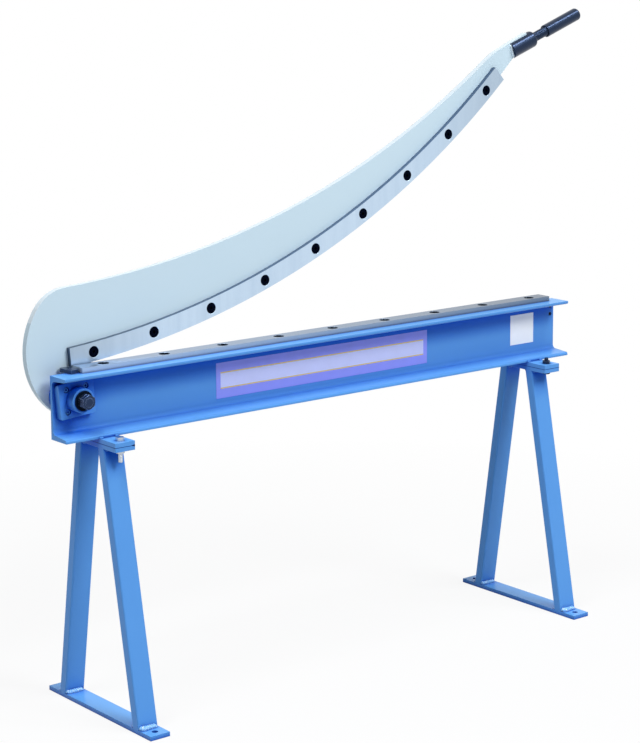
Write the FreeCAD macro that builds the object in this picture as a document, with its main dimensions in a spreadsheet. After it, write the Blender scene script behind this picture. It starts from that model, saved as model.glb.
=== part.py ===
import FreeCAD, Part
import math
import os
import re
import Sketcher
from FreeCAD import Vector

# Hand lever shear on two A-frame stands.
# Origin on the floor in the middle of the four floor bolts, X along the beam towards the handle,
# Y away from the operator, Z up. Lengths in millimetres, angles in degrees.

SIZES = {
    "beam_length": (1500, "channel beam, end to end"),
    "beam_height": (140, "channel beam, over the flanges"),
    "beam_overhang": (108, "left beam end to the middle of the left stand"),
    "far_overhang": (117, "right beam end to the middle of the right stand"),
    "flange_width": (60, "channel flange, web included"),
    "flange_thickness": (10, "channel flange half way along its width"),
    "flange_slope": (0.08, "taper of the inner flange face"),
    "web_thickness": (7, "channel web"),
    "root_radius": (10, "between flange and web"),
    "toe_radius": (5, "inner edge of the flange"),
    "end_screw": (10, "two set screws in the web at the handle end"),
    "end_screw_inset": (12, "from the beam end"),
    "end_screw_drop": (18, "upper set screw below the beam top"),
    "end_screw_pitch": (21, "between the two set screws"),
    "end_screw_sink": (1.5, "set screws below the front of the web"),
    "end_screw_socket": (5, "hexagon socket of the set screws, across flats"),
    "end_screw_socket_depth": (4, "hexagon socket of the set screws"),
    "stand_width": (50, "width of legs and plates along the beam"),
    "foot_length": (410, "floor plate across the beam"),
    "foot_thickness": (10, "floor plate"),
    "foot_hole": (14, "floor bolt hole"),
    "foot_hole_inset": (21, "floor bolt hole from the plate end"),
    "leg_height": (600, "leg between its two plates"),
    "leg_depth": (25.4, "leg tube, measured level across the beam"),
    "leg_wall": (2.5, "leg tube wall"),
    "leg_corner": (4, "outer corner of the leg tube"),
    "leg_foot_spread": (295, "between leg middles at the floor plate"),
    "leg_top_spread": (89, "between leg middles at the top plate"),
    "leg_top_offset": (11, "stand top set back from its foot"),
    "top_plate_length": (206, "stand top plate and beam tab, across the beam"),
    "top_plate_thickness": (10, "plate welded on the legs"),
    "tab_thickness": (10, "plate welded under the beam"),
    "clamp_hole": (11, "stand bolt hole"),
    "clamp_hole_inset": (20, "stand bolt hole from the plate end"),
    "clamp_thread": (10, "stand bolt"),
    "clamp_flats": (17, "stand bolt and nut, across flats"),
    "clamp_head_height": (6.4, "stand bolt head"),
    "clamp_nut_height": (8, "stand nut"),
    "clamp_washer": (20, "washers under the left bolt heads"),
    "clamp_washer_thickness": (2, "washers under the left bolt heads"),
    "left_bolt_length": (50, "left stand bolts, under the head"),
    "right_bolt_length": (35, "right stand bolts, under the head"),
    "lower_blade_length": (1400, "fixed blade"),
    "lower_blade_width": (40, "fixed blade across the beam"),
    "lower_blade_thickness": (12, "fixed blade"),
    "lower_blade_inset": (65, "fixed blade from the pivot end of the beam"),
    "lower_blade_overhang": (13, "fixed blade past the back of the web"),
    "lower_screw_inset": (65, "first screw from the blade end"),
    "lower_screw_line": (18, "screw line from the front edge of the blade"),
    "lower_screw_pitch": (160, "between fixed blade screws"),
    "lower_screw_end": (30, "least from the last screw to the end of the fixed blade"),
    "lower_screw_length": (20, "fixed blade screws"),
    "upper_blade_width": (42, "moving blade"),
    "upper_blade_thickness": (12, "moving blade"),
    "upper_screw_line": (21, "screw line from the cutting edge"),
    "upper_screw_pitch": (160.5, "between moving blade screws, along their arc"),
    "upper_screw_end": (40, "least from a screw to the end of the moving blade"),
    "upper_screw_length": (25, "moving blade screws"),
    "blade_gap": (0.2, "cutting clearance between the blades"),
    "screw_thread": (12, "blade screws"),
    "screw_head": (25, "blade screw head"),
    "screw_sink": (0.4, "blade screw head below the blade face"),
    "screw_socket": (8, "hexagon socket across flats"),
    "screw_socket_depth": (5, "hexagon socket"),
    "tapped_depth": (11, "blind thread in the beam flange"),
    "edge_radius": (2160, "curved cutting edge"),
    "edge_centre_side": (-172, "edge centre from the pivot, along the beam"),
    "edge_centre_rise": (2214, "edge centre above the pivot"),
    "edge_middle_angle": (23.66, "middle of the moving blade, from straight down"),
    "edge_half_angle": (18.8, "half of the moving blade about the edge centre"),
    "blade_hang": (8, "moving blade below the lever plate"),
    "lever_thickness": (15, "lever plate"),
    "nose_centre_side": (74.2, "centre of the round nose from the pivot"),
    "nose_centre_rise": (99.4, "centre of the round nose above the pivot"),
    "heel_radius": (44, "lever plate round the pivot"),
    "shoulder_radius": (92, "between nose and back"),
    "back_radius": (2307, "hollow back of the lever plate"),
    "back_centre_side": (-113, "back centre from the pivot"),
    "back_centre_rise": (2539, "back centre above the pivot"),
    "tip_bend_radius": (200, "where the back turns towards the handle"),
    "tip_angle": (22.7, "straight edge at the tip, above level"),
    "tip_length": (60.5, "tip inside the handle socket"),
    "tip_rise": (24, "top corner of the tip above the handle axis"),
    "tip_drop": (17, "lower edge of the tip below the handle axis"),
    "throat_side": (73, "start of the blade seat from the pivot"),
    "pivot_inset": (52, "pivot from the beam end"),
    "pivot_drop": (54, "pivot below the beam top"),
    "pivot_thread": (20, "pivot bolt"),
    "pivot_flats": (30, "pivot bolt head and nuts, across flats"),
    "pivot_head_height": (12.5, "pivot bolt head"),
    "pivot_nut_height": (10, "each of the two thin nuts"),
    "pivot_projection": (1.5, "pivot bolt past the lock nut"),
    "washer_diameter": (44, "pivot washers"),
    "washer_thickness": (2.5, "pivot washers"),
    "bush_wall": (3, "bronze bush in the lever plate"),
    "spacer_diameter": (82, "disc between web and lever plate"),
    "housing_width": (88, "pivot block along the beam"),
    "housing_height": (78, "pivot block"),
    "housing_thickness": (17, "pivot block"),
    "housing_corner": (4, "pivot block corners"),
    "housing_bevel": (11, "upper back edge, clear of the root radius"),
    "housing_turn": (4.5, "pivot block, turned on the web"),
    "housing_reach": (43, "boss of the pivot block, from the web"),
    "housing_boss": (54, "boss of the pivot block"),
    "housing_rim": (1.5, "bevel on the boss"),
    "housing_hole_pitch": (49, "four screws, square pattern"),
    "housing_thread": (6, "pivot block screws"),
    "housing_head": (10, "pivot block screw heads"),
    "housing_head_height": (6, "pivot block screw heads"),
    "housing_socket": (5, "hexagon socket of the pivot block screws, across flats"),
    "housing_counterbore": (13.5, "round each screw head"),
    "housing_counterbore_depth": (8, "round each screw head"),
    "block_width": (20, "heel block, which stops the opened blade"),
    "block_gap": (4.2, "heel block before the lever plate"),
    "block_thickness": (9, "heel block"),
    "block_corner": (6, "rounded back corner of the heel block"),
    "block_turn": (11, "heel block, turned on the flange"),
    "block_side": (42, "front corner of the heel block from the beam end"),
    "block_front": (20, "front corner of the heel block before the back of the web"),
    "block_screw_inset": (9, "heel block screw from both front edges"),
    "block_screw_thread": (6, "heel block screw"),
    "block_screw_head": (12, "heel block screw head"),
    "block_screw_socket": (4, "hexagon socket of the heel block screw, across flats"),
    "block_screw_length": (16, "heel block screw"),
    "handle_angle": (20.15, "handle axis above level"),
    "handle_side": (1324.8, "socket mouth from the pivot"),
    "handle_rise": (688.9, "socket mouth above the pivot"),
    "socket_diameter": (42, "handle socket"),
    "socket_length": (83, "handle socket"),
    "socket_round": (8, "rounded end of the socket"),
    "stud_diameter": (24, "threaded stud"),
    "stud_visible": (46, "stud between socket and grip"),
    "stud_in_grip": (100, "stud inside the grip"),
    "grip_diameter": (32, "grip"),
    "grip_length": (120, "grip"),
    "grip_round": (6, "rounded end of the grip"),
    "mouth_diameter": (27, "open mouth of the grip"),
    "mouth_depth": (10, "open mouth of the grip"),
    "thread_play": (0.05, "round a screw in its thread, and round the pivot bolt"),
    "hole_play": (0.5, "round a screw in a plain hole"),
    "turning_play": (0.1, "either side of the turning lever plate"),
    "slot_play": (0.1, "either side of the plate in the socket slot"),
    "edge_break": (1, "small bevels on bolts, nuts and pins"),
}

# Places that follow from the sizes
PLACES = {
    "stand_spacing": "beam_length - beam_overhang - far_overhang",
    "beam_left": "-(stand_spacing / 2 + beam_overhang)",
    "web_back": "flange_width / 2",
    "web_front": "web_back - web_thickness",
    "flange_toe": "flange_thickness - flange_slope * flange_width / 2",
    "flange_root": "flange_thickness + flange_slope * (flange_width / 2 - web_thickness)",
    "plate_stack": "top_plate_thickness + tab_thickness",
    "legs_top": "foot_thickness + leg_height",
    "beam_bottom": "legs_top + plate_stack",
    "beam_top": "beam_bottom + beam_height",
    "clamp_reach": "top_plate_length / 2 - clamp_hole_inset",
    "floor_reach": "foot_length / 2 - foot_hole_inset",
    "lower_blade_back": "web_back + lower_blade_overhang",
    "lower_blade_front": "lower_blade_back - lower_blade_width",
    "lower_screw_depth": "lower_blade_front + lower_screw_line",
    "upper_blade_front": "lower_blade_back + blade_gap",
    "lever_front": "upper_blade_front + upper_blade_thickness",
    "lever_middle": "lever_front + lever_thickness / 2",
    "lever_back": "lever_front + lever_thickness",
    "pivot_side": "beam_left + pivot_inset",
    "pivot_rise": "beam_top - pivot_drop",
    "pivot_bore": "pivot_thread + 2 * thread_play",
    "lower_screws": "floor((lower_blade_length - lower_screw_inset - lower_screw_end)"
                    " / lower_screw_pitch) + 1",
    "screw_radius": "edge_radius - upper_screw_line",
    "screw_step": "upper_screw_pitch / screw_radius * 180 / pi",
    "upper_screws": "floor((2 * edge_half_angle * pi / 180 * screw_radius - 2 * upper_screw_end)"
                    " / upper_screw_pitch) + 1",
    "seat_radius": "edge_radius - blade_hang",
    "boss_front": "web_front - housing_reach",
    "nuts_back": "boss_front - washer_thickness",
    "nuts_front": "nuts_back - 2 * pivot_nut_height",
    "rear_washer_front": "lever_back + turning_play",
    "rear_washer_back": "rear_washer_front + washer_thickness",
    "block_length": "(lever_front - block_gap - web_back + block_front) / cos(block_turn)",
    "slot_end": "tip_length + 3 * slot_play",
    "grip_start": "socket_length + stud_visible",
}

document = FreeCAD.newDocument("HandLeverShear")
pieces = []


def with_sheets(formula, own=None):
    """The formula with each name led to the sheet that holds it."""
    def lead(found):
        name = found.group()
        home = "Sizes" if name in SIZES else "Places"
        return name if home == own else home + "." + name
    return re.sub(r"[a-z]+(?:_[a-z]+)+", lead, formula)


def fill_sheets():
    sizes_sheet = document.addObject("Spreadsheet::Sheet", "Sizes")
    for row, (name, (number, note)) in enumerate(SIZES.items(), start=1):
        sizes_sheet.set("A%d" % row, note)
        sizes_sheet.set("B%d" % row, str(number))
        sizes_sheet.setAlias("B%d" % row, name)
    places_sheet = document.addObject("Spreadsheet::Sheet", "Places")
    for row, (name, formula) in enumerate(PLACES.items(), start=1):
        places_sheet.setAlias("B%d" % row, name)
    for row, (name, formula) in enumerate(PLACES.items(), start=1):
        places_sheet.set("B%d" % row, "=" + with_sheets(formula, own="Places"))
    document.recompute()


def value(formula):
    """The number that a formula gives now."""
    return float(document.getObject("Sizes").evalExpression(with_sheets(str(formula))))


def bind(thing, path, formula):
    thing.setExpression(path, with_sheets(str(formula)))


def new_body(label, side="0", depth="0", rise="0", axis=None, turn="0"):
    """A body whose origin stands at a place given by formulas."""
    body = document.addObject("PartDesign::Body", "".join(word.title() for word in label.split("_")))
    body.Label = label
    if axis:
        body.Placement.Rotation = FreeCAD.Rotation(Vector(*axis), value(turn))
        bind(body, "Placement.Rotation.Angle", turn)
    for letter, formula in zip("xyz", (side, depth, rise)):
        bind(body, "Placement.Base." + letter, formula)
    pieces.append(body)
    return body


def origin_feature(body, role):
    return next(item for item in body.Origin.OriginFeatures if item.Role == role)


def new_sketch(body, name, role, offset=None):
    sketch = body.newObject("Sketcher::SketchObject", name)
    sketch.AttachmentSupport = [(origin_feature(body, role), "")]
    sketch.MapMode = "FlatFace"
    if offset:
        bind(sketch, "AttachmentOffset.Base.z", offset)
    return sketch


def hold(sketch, kind, geometry, formula):
    """A size of a sketch, driven by a formula."""
    number = sketch.addConstraint(Sketcher.Constraint(kind, *geometry, value(formula)))
    bind(sketch, "Constraints[%d]" % number, formula)


def hold_point(sketch, geometry, end, across, up):
    """A point of a sketch, held at a place given by two formulas."""
    for kind, formula, axis in (("DistanceX", across, -2), ("DistanceY", up, -1)):
        if abs(value(formula)) < 1e-9:
            sketch.addConstraint(Sketcher.Constraint("PointOnObject", geometry, end, axis))
        else:
            hold(sketch, kind, (-1, 1, geometry, end), formula)


def join(sketch, first, first_end, second, second_end, kind="Coincident"):
    sketch.addConstraint(Sketcher.Constraint(kind, first, first_end, second, second_end))


def arc_ends(sketch, arc, first_point):
    """Which end of the arc lies at first_point, and which is the other."""
    near_start = sketch.getPoint(arc, 1).sub(first_point).Length < 1e-4
    return (1, 2) if near_start else (2, 1)


def outline(sketch, corners):
    """A closed outline through corners (across, up[, radius]), all formulas."""
    points = [Vector(value(corner[0]), value(corner[1]), 0) for corner in corners]
    radii = [value(corner[2]) if len(corner) > 2 else 0 for corner in corners]
    count = len(corners)
    leaving, arriving, bulges = [], [], []
    for number, (point, radius) in enumerate(zip(points, radii)):
        back = (points[number - 1] - point).normalize()
        ahead = (points[(number + 1) % count] - point).normalize()
        half = back.getAngle(ahead) / 2
        arriving.append(point + back * (radius / math.tan(half)))
        leaving.append(point + ahead * (radius / math.tan(half)))
        bisector = (back + ahead).normalize()
        bulges.append(point + bisector * (radius / math.sin(half) - radius))
    lines = []
    for number in range(count):
        run = Part.LineSegment(leaving[number], arriving[(number + 1) % count])
        lines.append(sketch.addGeometry(run, False))
    for number, corner in enumerate(corners):
        before, after = lines[number - 1], lines[number]
        if not radii[number]:
            join(sketch, before, 2, after, 1)
            hold_point(sketch, after, 1, corner[0], corner[1])
            continue
        bend = Part.Arc(arriving[number], bulges[number], leaving[number])
        arc = sketch.addGeometry(bend, False)
        near, far = arc_ends(sketch, arc, arriving[number])
        join(sketch, before, 2, arc, near, "Tangent")
        join(sketch, arc, far, after, 1, "Tangent")
        hold(sketch, "Radius", (arc,), corner[2])
        crossing = sketch.addGeometry(Part.Point(points[number]), True)
        sketch.addConstraint(Sketcher.Constraint("PointOnObject", crossing, 1, before))
        sketch.addConstraint(Sketcher.Constraint("PointOnObject", crossing, 1, after))
        hold_point(sketch, crossing, 1, corner[0], corner[1])


def rectangle(sketch, left, bottom, right, top, radius=None):
    corners = [(left, bottom), (right, bottom), (right, top), (left, top)]
    if radius:
        corners = [corner + (radius,) for corner in corners]
    outline(sketch, corners)


def circle(sketch, across, up, diameter):
    place = Vector(value(across), value(up), 0)
    ring = sketch.addGeometry(Part.Circle(place, Vector(0, 0, 1), value(diameter) / 2), False)
    hold_point(sketch, ring, 3, across, up)
    hold(sketch, "Diameter", (ring,), diameter)


def hexagon(sketch, across, up, flats):
    corners = []
    for number in range(6):
        out = "%s / sqrt(3)" % flats
        corners.append(("%s + %s * cos(%d)" % (across, out, 60 * number + 30),
                        "%s + %s * sin(%d)" % (up, out, 60 * number + 30)))
    outline(sketch, corners)


def finish_feature(feature, profile):
    feature.Profile = profile
    profile.Visibility = False
    document.recompute()
    return feature


def pad(body, name, sketch, length, turned=False):
    feature = body.newObject("PartDesign::Pad", name)
    feature.Reversed = turned
    bind(feature, "Length", length)
    return finish_feature(feature, sketch)


def pocket(body, name, sketch, length=None, turned=False):
    """A cut of the given depth, or right through without one."""
    before = body.Tip.Shape.Volume
    feature = body.newObject("PartDesign::Pocket", name)
    feature.Reversed = turned
    if length:
        bind(feature, "Length", length)
    else:
        feature.Type = "ThroughAll"
    finish_feature(feature, sketch)
    if feature.Shape.Volume > before - 1:
        raise ValueError(body.Label + " " + name + " cuts nothing")
    return feature


def revolve(body, name, sketch, axis):
    feature = body.newObject("PartDesign::Revolution", name)
    feature.Profile = sketch
    feature.ReferenceAxis = (sketch, [axis])
    feature.Angle = 360
    return finish_feature(feature, sketch)


def row(body, name, originals, role, pitch, count):
    """The originals again, pitch apart along an axis of the body."""
    feature = body.newObject("PartDesign::LinearPattern", name)
    feature.Originals = originals
    feature.Direction = (origin_feature(body, role), [""])
    bind(feature, "Length", "(%s) * (%s - 1)" % (pitch, count))
    bind(feature, "Occurrences", count)
    body.Tip = feature
    document.recompute()
    return feature


def ring_row(body, name, originals, step, count):
    """The originals again, a step of angle apart about the Y axis of the body."""
    feature = body.newObject("PartDesign::PolarPattern", name)
    feature.Originals = originals
    feature.Axis = (origin_feature(body, "Y_Axis"), [""])
    feature.Reversed = True
    bind(feature, "Angle", "(%s) * (%s - 1)" % (step, count))
    bind(feature, "Occurrences", count)
    body.Tip = feature
    document.recompute()
    return feature


def bevel_circle(body, name, depth, diameter, size):
    """A bevel on the round edge at a depth along Y."""
    base = body.Tip
    for number, edge in enumerate(base.Shape.Edges, start=1):
        if not isinstance(edge.Curve, Part.Circle):
            continue
        same_size = abs(edge.Curve.Radius - value(diameter) / 2) < 1e-3
        if same_size and abs(edge.Curve.Center.y - value(depth)) < 1e-3:
            feature = body.newObject("PartDesign::Chamfer", name)
            feature.Base = (base, ["Edge%d" % number])
            bind(feature, "Size", size)
            document.recompute()
            return feature
    raise ValueError(body.Label + " has no round edge for " + name)


END_SCREW_DROPS = ("end_screw_drop", "(end_screw_drop + end_screw_pitch)")


def channel_beam():
    """Rolled channel with tapered flanges, open towards the operator."""
    body = new_body("channel_beam", side="beam_left", rise="beam_bottom")
    section = new_sketch(body, "BeamSection", "YZ_Plane")
    outline(section, [
        ("web_back", "0"),
        ("web_back", "beam_height"),
        ("-flange_width / 2", "beam_height"),
        ("-flange_width / 2", "beam_height - flange_toe", "toe_radius"),
        ("web_front", "beam_height - flange_root", "root_radius"),
        ("web_front", "flange_root", "root_radius"),
        ("-flange_width / 2", "flange_toe", "toe_radius"),
        ("-flange_width / 2", "0"),
    ])
    pad(body, "BeamLength", section, "beam_length")

    pivot = ("pivot_inset", "beam_height - pivot_drop")
    web_holes = new_sketch(body, "WebHoles", "XZ_Plane")
    circle(web_holes, pivot[0], pivot[1], "pivot_bore + 2 * hole_play")
    for drop in END_SCREW_DROPS:
        circle(web_holes, "beam_length - end_screw_inset", "beam_height - " + drop,
               "end_screw + 2 * thread_play")
    for number in range(4):
        angle = "(housing_turn + %d)" % (45 + 90 * number)
        circle(web_holes,
               "%s + housing_hole_pitch / sqrt(2) * cos(%s)" % (pivot[0], angle),
               "%s + housing_hole_pitch / sqrt(2) * sin(%s)" % (pivot[1], angle),
               "housing_thread + 2 * thread_play")
    pocket(body, "WebHolesCut", web_holes)

    block_thread = new_sketch(body, "BlockThread", "XY_Plane", offset="beam_height")
    across, depth = block_screw_place()
    circle(block_thread, across, depth, "block_screw_thread + 2 * thread_play")
    pocket(body, "BlockThreadCut", block_thread, "block_screw_length - block_thickness + edge_break")

    blade_thread = new_sketch(body, "BladeThread", "XY_Plane", offset="beam_height")
    circle(blade_thread, "lower_blade_inset + lower_screw_inset", "lower_screw_depth",
           "screw_thread + 2 * thread_play")
    first = pocket(body, "BladeThreadCut", blade_thread, "tapped_depth")
    row(body, "BladeThreads", [first], "X_Axis", "lower_screw_pitch", "lower_screws")


def beam_end_screws():
    """Two socket set screws, one above the other in the web."""
    body = new_body("beam_end_screws", side="beam_left + beam_length - end_screw_inset",
                    depth="web_back", rise="beam_top")
    shanks = new_sketch(body, "Shanks", "XZ_Plane")
    sockets = new_sketch(body, "Sockets", "XZ_Plane", offset="web_thickness - end_screw_sink")
    for drop in END_SCREW_DROPS:
        circle(shanks, "0", "-" + drop, "end_screw")
        hexagon(sockets, "0", "-" + drop, "end_screw_socket")
    pad(body, "ShankPads", shanks, "web_thickness - end_screw_sink")
    pocket(body, "SocketCuts", sockets, "end_screw_socket_depth")


def block_screw_place():
    """Heel block screw on the beam, from the beam end and from the beam middle."""
    across = ("block_side + block_screw_inset * (cos(block_turn) - sin(block_turn))")
    depth = ("web_back - block_front + block_screw_inset * (sin(block_turn) + cos(block_turn))")
    return across, depth


def flat_bar(label, side, middle, rise, length, thickness, hole, reach):
    """Flat bar across the beam with a hole near each end."""
    body = new_body(label, side=side, depth=middle, rise=rise)
    plan = new_sketch(body, "Plan", "XY_Plane")
    rectangle(plan, "-stand_width / 2", "-(%s) / 2" % length, "stand_width / 2", "(%s) / 2" % length)
    for sign in ("-", ""):
        circle(plan, "0", "%s(%s)" % (sign, reach), hole)
    pad(body, "Bar", plan, thickness)


def leg(label, side, foot_depth, top_depth):
    """Rectangular tube that leans from the floor plate to the top plate."""
    body = new_body(label, side=side, depth=foot_depth, rise="foot_thickness")
    section = new_sketch(body, "Section", "XY_Plane")
    rectangle(section, "-stand_width / 2", "-leg_depth / 2", "stand_width / 2", "leg_depth / 2",
              "leg_corner")
    rectangle(section, "-stand_width / 2 + leg_wall", "-leg_depth / 2 + leg_wall",
              "stand_width / 2 - leg_wall", "leg_depth / 2 - leg_wall", "leg_corner - leg_wall")
    tube = body.newObject("PartDesign::Pad", "LeaningTube")
    tube.UseCustomVector = True
    tube.AlongSketchNormal = True
    tube.Direction = Vector(0, value("%s - (%s)" % (top_depth, foot_depth)), value("leg_height"))
    bind(tube, "Direction.y", "%s - (%s)" % (top_depth, foot_depth))
    bind(tube, "Direction.z", "leg_height")
    bind(tube, "Length", "leg_height")
    finish_feature(tube, section)


def cut_flats(body, flats, bottom, top):
    """Six flats on a round head between two heights."""
    ring = new_sketch(body, "Flats", "XY_Plane", offset=bottom)
    circle(ring, "0", "0", "%s * 1.5" % flats)
    hexagon(ring, "0", "0", flats)
    return pocket(body, "FlatsCut", ring, "%s - (%s)" % (top, bottom), turned=True)


def hex_bolt(body, thread, flats, head_height, length):
    """Head below the origin with its bevel down, plain shank up to length."""
    corner = "%s / sqrt(3)" % flats
    profile = new_sketch(body, "BoltProfile", "XZ_Plane")
    outline(profile, [
        ("0", "-(%s)" % head_height),
        ("%s * 0.95 / 2" % flats, "-(%s)" % head_height),
        (corner, "-(%s) + (%s - %s * 0.95 / 2) / sqrt(3)" % (head_height, corner, flats)),
        (corner, "0"),
        ("%s / 2" % thread, "0"),
        ("%s / 2" % thread, "%s - edge_break" % length),
        ("%s / 2 - edge_break" % thread, length),
        ("0", length),
    ])
    bolt = revolve(body, "Bolt", profile, "V_Axis")
    return [bolt, cut_flats(body, flats, "-(%s)" % head_height, "0")]


def hex_nut(body, thread, flats, height):
    """Nut from the origin upwards, bevelled on both faces."""
    corner = "%s / sqrt(3)" % flats
    rim = "%s * 0.95 / 2" % flats
    slope = "(%s - %s) / sqrt(3)" % (corner, rim)
    bore = "%s / 2 + thread_play" % thread
    profile = new_sketch(body, "NutProfile", "XZ_Plane")
    outline(profile, [
        (bore, "0"),
        (rim, "0"),
        (corner, slope),
        (corner, "%s - %s" % (height, slope)),
        (rim, height),
        (bore, height),
    ])
    nut = revolve(body, "Nut", profile, "V_Axis")
    return [nut, cut_flats(body, flats, "0", height)]


def stand(name, side, bolt_length, head_up):
    """One A-frame stand with the tab plate it is bolted to."""
    flat_bar(name + "_foot_plate", side, "0", "0", "foot_length", "foot_thickness",
             "foot_hole", "floor_reach")
    for place, sign in (("front", "-"), ("rear", "")):
        leg("%s_%s_leg" % (name, place), side, sign + "leg_foot_spread / 2",
            "leg_top_offset %s leg_top_spread / 2" % (sign or "+"))
    flat_bar(name + "_top_plate", side, "leg_top_offset", "legs_top", "top_plate_length",
             "top_plate_thickness", "clamp_hole", "clamp_reach")
    flat_bar(name + "_tab_plate", side, "leg_top_offset", "legs_top + top_plate_thickness",
             "top_plate_length", "tab_thickness", "clamp_hole", "clamp_reach")

    front = "leg_top_offset - clamp_reach"
    turn = "180" if head_up else "0"
    bolt_rise = "beam_bottom + clamp_washer_thickness" if head_up else "legs_top"
    nut_rise = "legs_top" if head_up else "beam_bottom"
    bolts = new_body(name + "_stand_bolts", side=side, depth=front, rise=bolt_rise,
                     axis=(1, 0, 0), turn=turn)
    shapes = hex_bolt(bolts, "clamp_thread", "clamp_flats", "clamp_head_height", bolt_length)
    nuts = new_body(name + "_stand_nuts", side=side, depth=front, rise=nut_rise,
                    axis=(1, 0, 0), turn=turn)
    nut_shapes = hex_nut(nuts, "clamp_thread", "clamp_flats", "clamp_nut_height")
    for body, originals in ((bolts, shapes), (nuts, nut_shapes)):
        pair = row(body, "FrontAndRear", originals, "Y_Axis", "2 * clamp_reach", "2")
        pair.Reversed = head_up
        document.recompute()
    if head_up:
        washers = new_body(name + "_stand_washers", side=side, depth=front, rise="beam_bottom")
        ring = new_sketch(washers, "Ring", "XY_Plane")
        circle(ring, "0", "0", "clamp_washer")
        circle(ring, "0", "0", "clamp_thread + hole_play")
        washer = pad(washers, "Washer", ring, "clamp_washer_thickness")
        row(washers, "FrontAndRear", [washer], "Y_Axis", "2 * clamp_reach", "2")


def countersunk_holes(body, name, sketch, play="hole_play"):
    """A plain hole with a conical mouth for a blade screw."""
    document.recompute()
    hole = body.newObject("PartDesign::Hole", name)
    finish_feature(hole, sketch)
    hole.DepthType = "ThroughAll"
    hole.HoleCutType = "Countersink"
    hole.HoleCutCustomValues = True
    bind(hole, "Diameter", "screw_thread + 2 * " + play)
    bind(hole, "HoleCutDiameter", "screw_head + 2 * screw_sink + 2 * thread_play")
    hole.HoleCutCountersinkAngle = 90
    document.recompute()
    return hole


def lower_blade():
    """Fixed blade, a flat bar screwed on the top flange."""
    body = new_body("lower_blade", side="beam_left + lower_blade_inset", depth="lower_blade_front",
                    rise="beam_top")
    plan = new_sketch(body, "BladePlan", "XY_Plane")
    rectangle(plan, "0", "0", "lower_blade_length", "lower_blade_width")
    blank = pad(body, "BladeBar", plan, "lower_blade_thickness")
    mark = new_sketch(body, "ScrewMark", "XY_Plane", offset="lower_blade_thickness")
    circle(mark, "lower_screw_inset", "lower_screw_line", "screw_thread")
    hole = countersunk_holes(body, "ScrewHole", mark)
    holes = row(body, "ScrewHoles", [hole], "X_Axis", "lower_screw_pitch", "lower_screws")
    if holes.Shape.Volume > blank.Shape.Volume - 1:
        raise ValueError("the lower blade has no screw holes")


def screw_profile(sketch, depth_axis, length):
    """Half a countersunk screw; its face lies at zero and its thread runs to minus length."""
    radius, head = "screw_thread / 2", "screw_head / 2"
    cone = "(%s - %s)" % (head, radius)
    if depth_axis == "up":
        place = lambda out, deep: (out, "-(%s)" % deep)
    else:
        place = lambda out, deep: (deep, "-screw_radius + (%s)" % out)
    steps = [("0", "0"), (head, "0"), (radius, cone), (radius, length), ("0", length)]
    outline(sketch, [place(out, deep) for out, deep in steps])


def lower_blade_screws():
    body = new_body("lower_blade_screws", side="beam_left + lower_blade_inset + lower_screw_inset",
                    depth="lower_screw_depth", rise="beam_top + lower_blade_thickness - screw_sink")
    profile = new_sketch(body, "ScrewProfile", "XZ_Plane")
    screw_profile(profile, "up", "lower_screw_length")
    screw = revolve(body, "Screw", profile, "V_Axis")
    mouth = new_sketch(body, "SocketMouth", "XY_Plane")
    hexagon(mouth, "0", "0", "screw_socket")
    socket = pocket(body, "Socket", mouth, "screw_socket_depth")
    row(body, "ScrewRow", [screw, socket], "X_Axis", "lower_screw_pitch", "lower_screws")


def edge_body(label, depth, turn):
    """A body with its origin at the centre of the curved cutting edge."""
    return new_body(label, side="pivot_side + edge_centre_side", depth=depth,
                    rise="pivot_rise + edge_centre_rise", axis=(0, -1, 0), turn=turn)


def upper_blade():
    """Moving blade, a curved bar under the lever plate."""
    body = edge_body("upper_blade", "lever_front", "edge_middle_angle")
    face = new_sketch(body, "BladeFace", "XZ_Plane")
    half = math.radians(value("edge_half_angle"))
    down = -math.pi / 2
    radii = ("edge_radius", "edge_radius - upper_blade_width")
    arcs, spokes = [], []
    for radius in radii:
        ring = Part.Circle(Vector(0, 0, 0), Vector(0, 0, 1), value(radius))
        arc = sketch_arc(face, ring, down - half, down + half, radius)
        arcs.append(arc)
    for end, sign in ((1, -1), (2, 1)):
        away = Vector(sign * math.sin(half), -math.cos(half), 0)
        spoke = Part.LineSegment(away * value(radii[0]), away * value(radii[1]))
        spokes.append(face.addGeometry(spoke, False))
        join(face, spokes[-1], 1, arcs[0], end)
        join(face, spokes[-1], 2, arcs[1], end)
        face.addConstraint(Sketcher.Constraint("PointOnObject", -1, 1, spokes[-1]))
        mark = "%d * edge_radius * sin(edge_half_angle)" % sign
        hold(face, "DistanceX", (-1, 1, arcs[0], end), mark)
    blank = pad(body, "BladeBar", face, "upper_blade_thickness")
    mark = new_sketch(body, "ScrewMark", "XZ_Plane", offset="upper_blade_thickness")
    first = "(screw_step * (upper_screws - 1) / 2)"
    circle(mark, "-screw_radius * sin(%s)" % first, "-screw_radius * cos(%s)" % first, "screw_thread")
    hole = countersunk_holes(body, "ScrewHole", mark)
    holes = ring_row(body, "ScrewHoles", [hole], "screw_step", "upper_screws")
    if holes.Shape.Volume > blank.Shape.Volume - 1:
        raise ValueError("the upper blade has no screw holes")


def sketch_arc(sketch, ring, start, end, radius, centre=("0", "0")):
    """An arc of a circle with its centre held and, where a formula is given, its radius."""
    arc = sketch.addGeometry(Part.ArcOfCircle(ring, start, end), False)
    hold_arc_centre(sketch, arc, centre)
    if radius:
        hold(sketch, "Radius", (arc,), radius)
    return arc


def hold_arc_centre(sketch, arc, centre):
    hold_point(sketch, arc, 3, centre[0], centre[1])


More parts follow.
